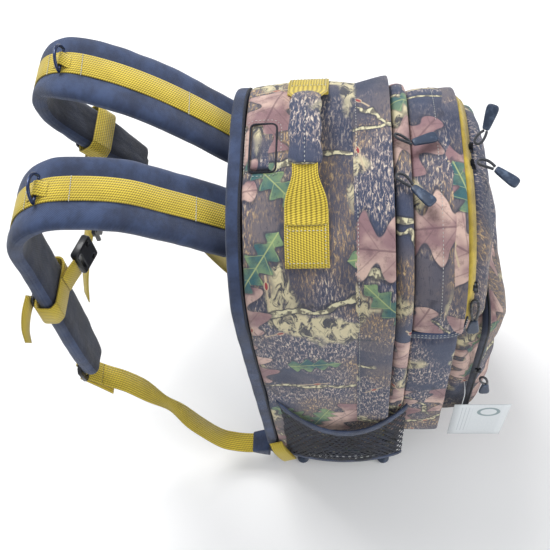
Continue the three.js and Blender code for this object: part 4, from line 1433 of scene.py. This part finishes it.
def moulding(name, outer, holes, depth, axes, origin, material, body, slot, *stands_for, soft=0.7):
    """A flat moulding: an outline with holes, some mm thick, with its edges rounded. axes are its x, y and z."""
    curve = bpy.data.curves.new(name, "CURVE")
    curve.dimensions = "2D"
    curve.fill_mode = "BOTH"
    curve.extrude = (depth / 2 - soft) * MM
    curve.bevel_depth = soft * MM
    curve.bevel_resolution = 2
    curve.offset = -soft * MM
    for loop in [outer, *holes]:
        spline = curve.splines.new("POLY")
        spline.points.add(len(loop) - 1)
        spline.use_cyclic_u = True
        for point, (x, y) in zip(spline.points, loop):
            point.co = (x * MM, y * MM, 0, 1)
    holder = bpy.data.objects.new(name + "_curve", curve)
    bpy.context.collection.objects.link(holder)
    graph = bpy.context.evaluated_depsgraph_get()
    mesh = bpy.data.meshes.new_from_object(holder.evaluated_get(graph))
    bpy.data.objects.remove(holder)
    obj = bpy.data.objects.new(name, mesh)
    bpy.context.collection.objects.link(obj)
    turn = Matrix([axis.normalized() for axis in axes]).transposed().to_4x4()
    mesh.transform(Matrix.Translation(origin * MM) @ turn)
    return piece(obj, material, body, slot, *stands_for)


def rectangle(x0, y0, x1, y1, cut=1.5):
    return [(x0 + cut, y0), (x1 - cut, y0), (x1, y0 + cut), (x1, y1 - cut),
            (x1 - cut, y1), (x0 + cut, y1), (x0, y1 - cut), (x0, y0 + cut)]


def lock_frame(side):
    """A ladder lock's upper bar on its strap's tip, with the directions across, along and off the strap."""
    point, sideways, out, tangent = frames(smooth_route(STRAPS[side], spacing=3), along_x)[-1]
    along = out.cross(sideways)
    return point + out * LOCK_LIFT - along * 12, sideways, along, out


def ladder_lock(side):
    """A ladder lock with three bars, held on the strap's tip by a fold of webbing."""
    origin, sideways, along, out = lock_frame(side)
    moulding(
        f"{side}_lock", rectangle(-18, 0, 18, 28, 4), [rectangle(-13.4, 4, 13.4, 11), rectangle(-13.4, 17, 13.4, 24)],
        4.2, (sideways, along, out), origin, BLACK_PLASTIC, f"{side}_lock", "navy_plastic", f"{side}_ladder_lock",
    )
    under = origin + along * 2 - out * LOCK_LIFT
    keeper(f"{side}_lock_keeper", under, along, out, 8.2, 11, 20, f"{side}_strap")


def threaded_webbing(side, route):
    """The lower webbing's end, woven through its ladder lock, and the loose tail that hangs from it."""
    origin, sideways, along, out = lock_frame(side)
    woven = [
        origin + along * u + out * v
        for u, v in ((28.5, 3.9), (25, 3.4), (22.5, 2), (20, -0.8), (17.5, -3), (15, -3.4), (12.6, -3.3))
    ]
    path = smooth_route([route[THREADED], route[THREADED // 2], *woven], spacing=2.5)
    obj = sweep(f"{side}_threaded_webbing", path, ribbon(WEBBING_WIDTH, -0.6, 0.6), along_x)
    bodies = (f"{side}_strap", f"{side}_lock")
    bridge(obj, MUSTARD, "yellow_webbing", bodies, path[0], woven[1])

    tip, below = route[0], (route[2] - route[0]).normalized()
    away = along_x(0).cross(below).normalized()
    if away.y < 0:
        away = -away
    tail = smooth_route([tip + away * 5, tip + below * 22 + away * 8, tip + below * 50 + away * 13], spacing=3)
    end = sweep(f"{side}_adjuster_tail", tail, ribbon(WEBBING_WIDTH, -0.7, 0.7), along_x)
    bridge(end, MUSTARD, "yellow_webbing", bodies, tail[-4], tail[0])
    for n, back in enumerate((2, 4)):
        line = [tail[-back] + Vector((u, 0, 0)) + away * 0.9 for u in spaced(-11, 11, 8)]
        stitching(f"{side}_tail_hem_{n}", line, lambda i: away, f"{side}_strap", pitch=2.6, material=NAVY_DARK)


def sternum_loop(side):
    """Webbing folded round the pad, with a tri-glide on its face."""
    steps = frames(smooth_route(STRAPS[side], spacing=3), along_x)
    point, sideways, out, tangent = steps[round(LOOP_AT[side] * (len(steps) - 1))]
    low, high = (Vector(c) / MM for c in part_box(f"{side}_sternum_loop"))
    point = point + (Vector(((low.x + high.x) / 2, (low.y + high.y) / 2, (low.z + high.z) / 2)) - point).project(tangent)
    half = CHEST_WIDTH / 2 + 3.4
    bottom = -STRAP_THICKNESS - 2.0
    top = WEBBING + 2.2
    around = [(-half + 6, bottom), (0, bottom - 0.3), (half - 6, bottom), (half, bottom + 4), (half + 0.3, -6),
              (half, top - 3), (half - 5, top), (0, top + 0.4), (-half + 5, top), (-half, top - 3),
              (-half - 0.3, -6), (-half, bottom + 4)]
    line = [point + sideways * u + out * v for u, v in around]
    ring = smooth_route([*line, line[0]], spacing=4)
    obj = sweep(f"{side}_chest_loop", ring, ribbon(WEBBING_WIDTH, -0.8, 0.8), lambda t: -tangent, ends=False)
    piece(obj, MUSTARD, f"{side}_sternum", "yellow_webbing", f"{side}_sternum_loop")
    along = out.cross(sideways)
    moulding(
        f"{side}_tri_glide", rectangle(-9, -15, 9, 15, 2),
        [rectangle(-6, -12.8, -1.6, 12.8, 0.8), rectangle(1.6, -12.8, 6, 12.8, 0.8)],
        2.6, (sideways, along, out), point + out * (top + 2.4) + sideways * (-half * 0.45),
        BLACK_PLASTIC, f"{side}_sternum", "navy_plastic",
    )


def lower_webbing(side):
    """The adjuster webbing, from the pack's bottom corner up to the strap's ladder lock, and its tab."""
    low, high = (Vector(c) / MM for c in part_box(f"{side}_anchor_tab"))
    middle = (low.x + high.x) / 2
    route = smooth_route([*LOWER_ROUTES[side], (middle, low.y + 8, 38)], spacing=4)
    threaded_webbing(side, route)

    def turning(share):
        whole = (THREADED + share * (len(route) - THREADED)) / len(route)
        twist = TWIST[side] * math.exp(-((whole - 0.42) / 0.13) ** 2)
        return Vector((math.cos(twist), 0, math.sin(twist)))

    obj = sweep(f"{side}_adjuster", route[THREADED:], ribbon(WEBBING_WIDTH, -WEBBING / 2, WEBBING / 2), turning)
    bridge(obj, MUSTARD, "yellow_webbing", (BASE_BODY, f"{side}_strap"), route[-5], route[THREADED],
           f"{side}_lower_webbing")

    rows = []
    for y, half, tall in ((low.y - 2, 14, 11), (low.y + 4, 14, 9), (high.y - 8, 13.4, 5), (high.y - 2, 13, 2)):
        z = (low.z + high.z) / 2
        rows.append([(middle - half, y, z - tall), (middle + half, y, z - tall),
                     (middle + half, y, z + tall), (middle - half, y, z + tall)])
    tab = closed(grid(f"{side}_tab", rows, ring=True))
    bevel = tab.modifiers.new("edges", "BEVEL")
    bevel.width = 1.4 * MM
    bevel.segments = 2
    piece(tab, NAVY, BASE_BODY, "navy_cloth", f"{side}_anchor_tab")


def corner_loop(side):
    """A loop of webbing sewn into the pack's bottom corner, for lashing."""
    x = side * (GUSSET.half + 4)
    out = side * 7
    route = smooth_route([
        (x, 92, 72), (x + out, 88, 62), (x + out * 1.3, 82, 44), (x + out * 1.2, 77, 30), (x + out * 0.8, 78, 26),
        (x + out * 0.4, 83, 34), (x, 89, 50), (x - out * 0.2, 92, 64),
    ], spacing=3)
    loop = sweep(f"corner_loop_{side + 1}", route, ribbon(16, -0.7, 0.7), lambda t: Vector((0.3 * side, 1, 0.2)))
    piece(loop, MUSTARD, BASE_BODY, "yellow_webbing")


def strap_yoke():
    low, high = (Vector(c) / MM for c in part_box("strap_yoke_webbing"))
    route = [Vector((x, (low.y + high.y) / 2, (low.z + high.z) / 2)) for x in spaced(low.x, high.x, 20)]
    obj = sweep("yoke_webbing", route, ribbon(WEBBING_WIDTH, -0.9, 0.9), along_z)
    piece(obj, MUSTARD, BASE_BODY, "yellow_webbing", "strap_yoke_webbing")


for side_name in ("left", "right"):
    shoulder_strap(side_name)
    d_ring(side_name)
    ladder_lock(side_name)
    sternum_loop(side_name)
    lower_webbing(side_name)
for side_sign in (-1, 1):
    corner_loop(side_sign)
strap_yoke()


# ---- sternum strap ----
def sternum_strap():
    left = smooth_route([(-86, 263.9, 390), (-76, 259.5, 391), (-68, 255, 392)], spacing=3)
    obj = sweep("left_chest_webbing", left, ribbon(WEBBING_WIDTH, -0.8, 0.8), along_z)
    piece(obj, MUSTARD, "left_sternum", "yellow_webbing", "left_sternum_webbing")
    right = smooth_route([
        (74, 268, 387.6), (72, 273, 372), (64, 276, 350), (54, 278, 325), (44, 279, 303),
    ], spacing=4)
    obj = sweep("right_chest_webbing", right, ribbon(WEBBING_WIDTH, -0.8, 0.8), along_x)
    piece(obj, MUSTARD, "right_sternum", "yellow_webbing", "right_sternum_webbing")

    tail = smooth_route([(42, 283, 305), (24, 290, 284), (2, 297, 256), (-14, 300, 232)], spacing=4)
    end = sweep("right_chest_tail", tail, ribbon(lambda t: 20 - 6 * t, -0.7, 0.7), lambda t: Vector((1, 0.5, 0.6)))
    piece(end, MUSTARD, "right_sternum", "yellow_webbing")
    tail = smooth_route([(-104, 291, 401), (-120, 293, 399), (-134, 294, 392), (-142, 294, 380)], spacing=3)
    end = sweep("left_chest_tail", tail, ribbon(lambda t: 20 - 8 * t, -0.7, 0.7), lambda t: Vector((-0.4, 0.1, 0.9)))
    piece(end, MUSTARD, "left_sternum", "yellow_webbing")

    up = Vector((0, 0, 1))
    reach = Vector((0.94, -0.34, 0)).normalized()
    face = up.cross(reach)
    origin = Vector((-67.1, 254.6, 393))
    windows = [[(x + 2.4 * math.cos(a), 19 + 2.4 * math.sin(a)) for a in (2 * math.pi * i / 16 for i in range(16))]
               for x in (-11, 11)]
    windows.append(rectangle(-12, 2.5, 12, 6.5, 0.8))
    moulding(
        "chest_socket", rectangle(-16, 0, 16, 26, 2), windows, 8, (up, reach, face), origin,
        BLACK_PLASTIC, "left_sternum", "navy_plastic", "sternum_socket", soft=1.4,
    )
    fork = [(-16, 0), (16, 0), (16, 8), (12.5, 10), (13, 22), (9, 25), (8, 14), (4, 12), (3.4, 24), (0, 25.6),
            (-3.4, 24), (-4, 12), (-8, 14), (-9, 25), (-13, 22), (-12.5, 10), (-16, 8)]
    moulding(
        "chest_prong", fork, [rectangle(-12.8, 2.4, 12.8, 5.4, 0.6)], 4,
        (Vector((-1, 0, 0)), Vector((0, 0, -1)), Vector((0, -1, 0))), Vector((44, 279, 302.4)),
        BLACK_PLASTIC, "right_sternum", "navy_plastic", "sternum_prong", soft=0.5,
    )


sternum_strap()


# ---- hang tag ----
def hang_tag():
    low, high = (Vector(c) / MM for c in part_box("hang_tag"))
    x = (low.x + high.x) / 2
    rows = []
    for z in spaced(high.z, low.z, 14):
        rows.append([(x - 0.8 * math.sin((z - low.z) / 40), y, z) for y in spaced(low.y, high.y, 8)])
    card = grid("blank_tag", rows)
    map_by(card, lambda co: (co.y - low.y * MM, high.z * MM - co.z))
    thicken(card, 0.5)
    piece(card, CARD, "tag", "tag_card", "hang_tag")
    first, last = (Vector(c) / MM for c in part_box("tag_fastener"))
    y = (first.y + last.y) / 2
    thread = smooth_route([(last.x, y, last.z - 1), (first.x + 4, y, last.z - 3), (first.x + 0.8, y, last.z - 12),
                           (x, y, first.z - 4)], spacing=2)
    obj = piping("tag_thread", thread, 0.5, CLEAR_PLASTIC, "tag", "clear_plastic")
    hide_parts("tag_fastener")


hang_tag()


# ---- studio ----
def studio():
    floor = bpy.data.meshes.new("floor")
    floor.from_pydata([(-6, -6, 0), (6, -6, 0), (6, 6, 0), (-6, 6, 0)], [], [(0, 1, 2, 3)])
    obj = bpy.data.objects.new("floor", floor)
    bpy.context.collection.objects.link(obj)
    s = Shader("floor_paper", roughness=0.9)
    place = s.add("TexCoord", {}, output=3)
    tone = s.add("TexNoise", {"Vector": place, "Scale": 3.0})
    floor.materials.append(s.paint(s.mix(tone, linear(246, 246, 246), linear(250, 249, 249))))
    world = bpy.data.worlds.new("studio")
    world.use_nodes = True
    world.node_tree.nodes["Background"].inputs["Color"].default_value = (0.95, 0.975, 1, 1)
    world.node_tree.nodes["Background"].inputs["Strength"].default_value = 0.6
    bpy.context.scene.world = world
    bpy.context.scene.view_settings.view_transform = "Standard"
    for name, place_at, power, size in (
        ("key", (0.9, 0.7, 2.2), 44, 1.0),
        ("fill", (-1.0, -1.9, 1.5), 26, 1.8),
    ):
        light = bpy.data.lights.new(name, "AREA")
        light.energy = power
        light.size = size
        lamp = bpy.data.objects.new(name, light)
        lamp.location = place_at
        aim = Vector((0, 0, 0.25)) - Vector(place_at)
        lamp.rotation_euler = aim.to_track_quat("-Z", "Y").to_euler()
        bpy.context.collection.objects.link(lamp)


studio()
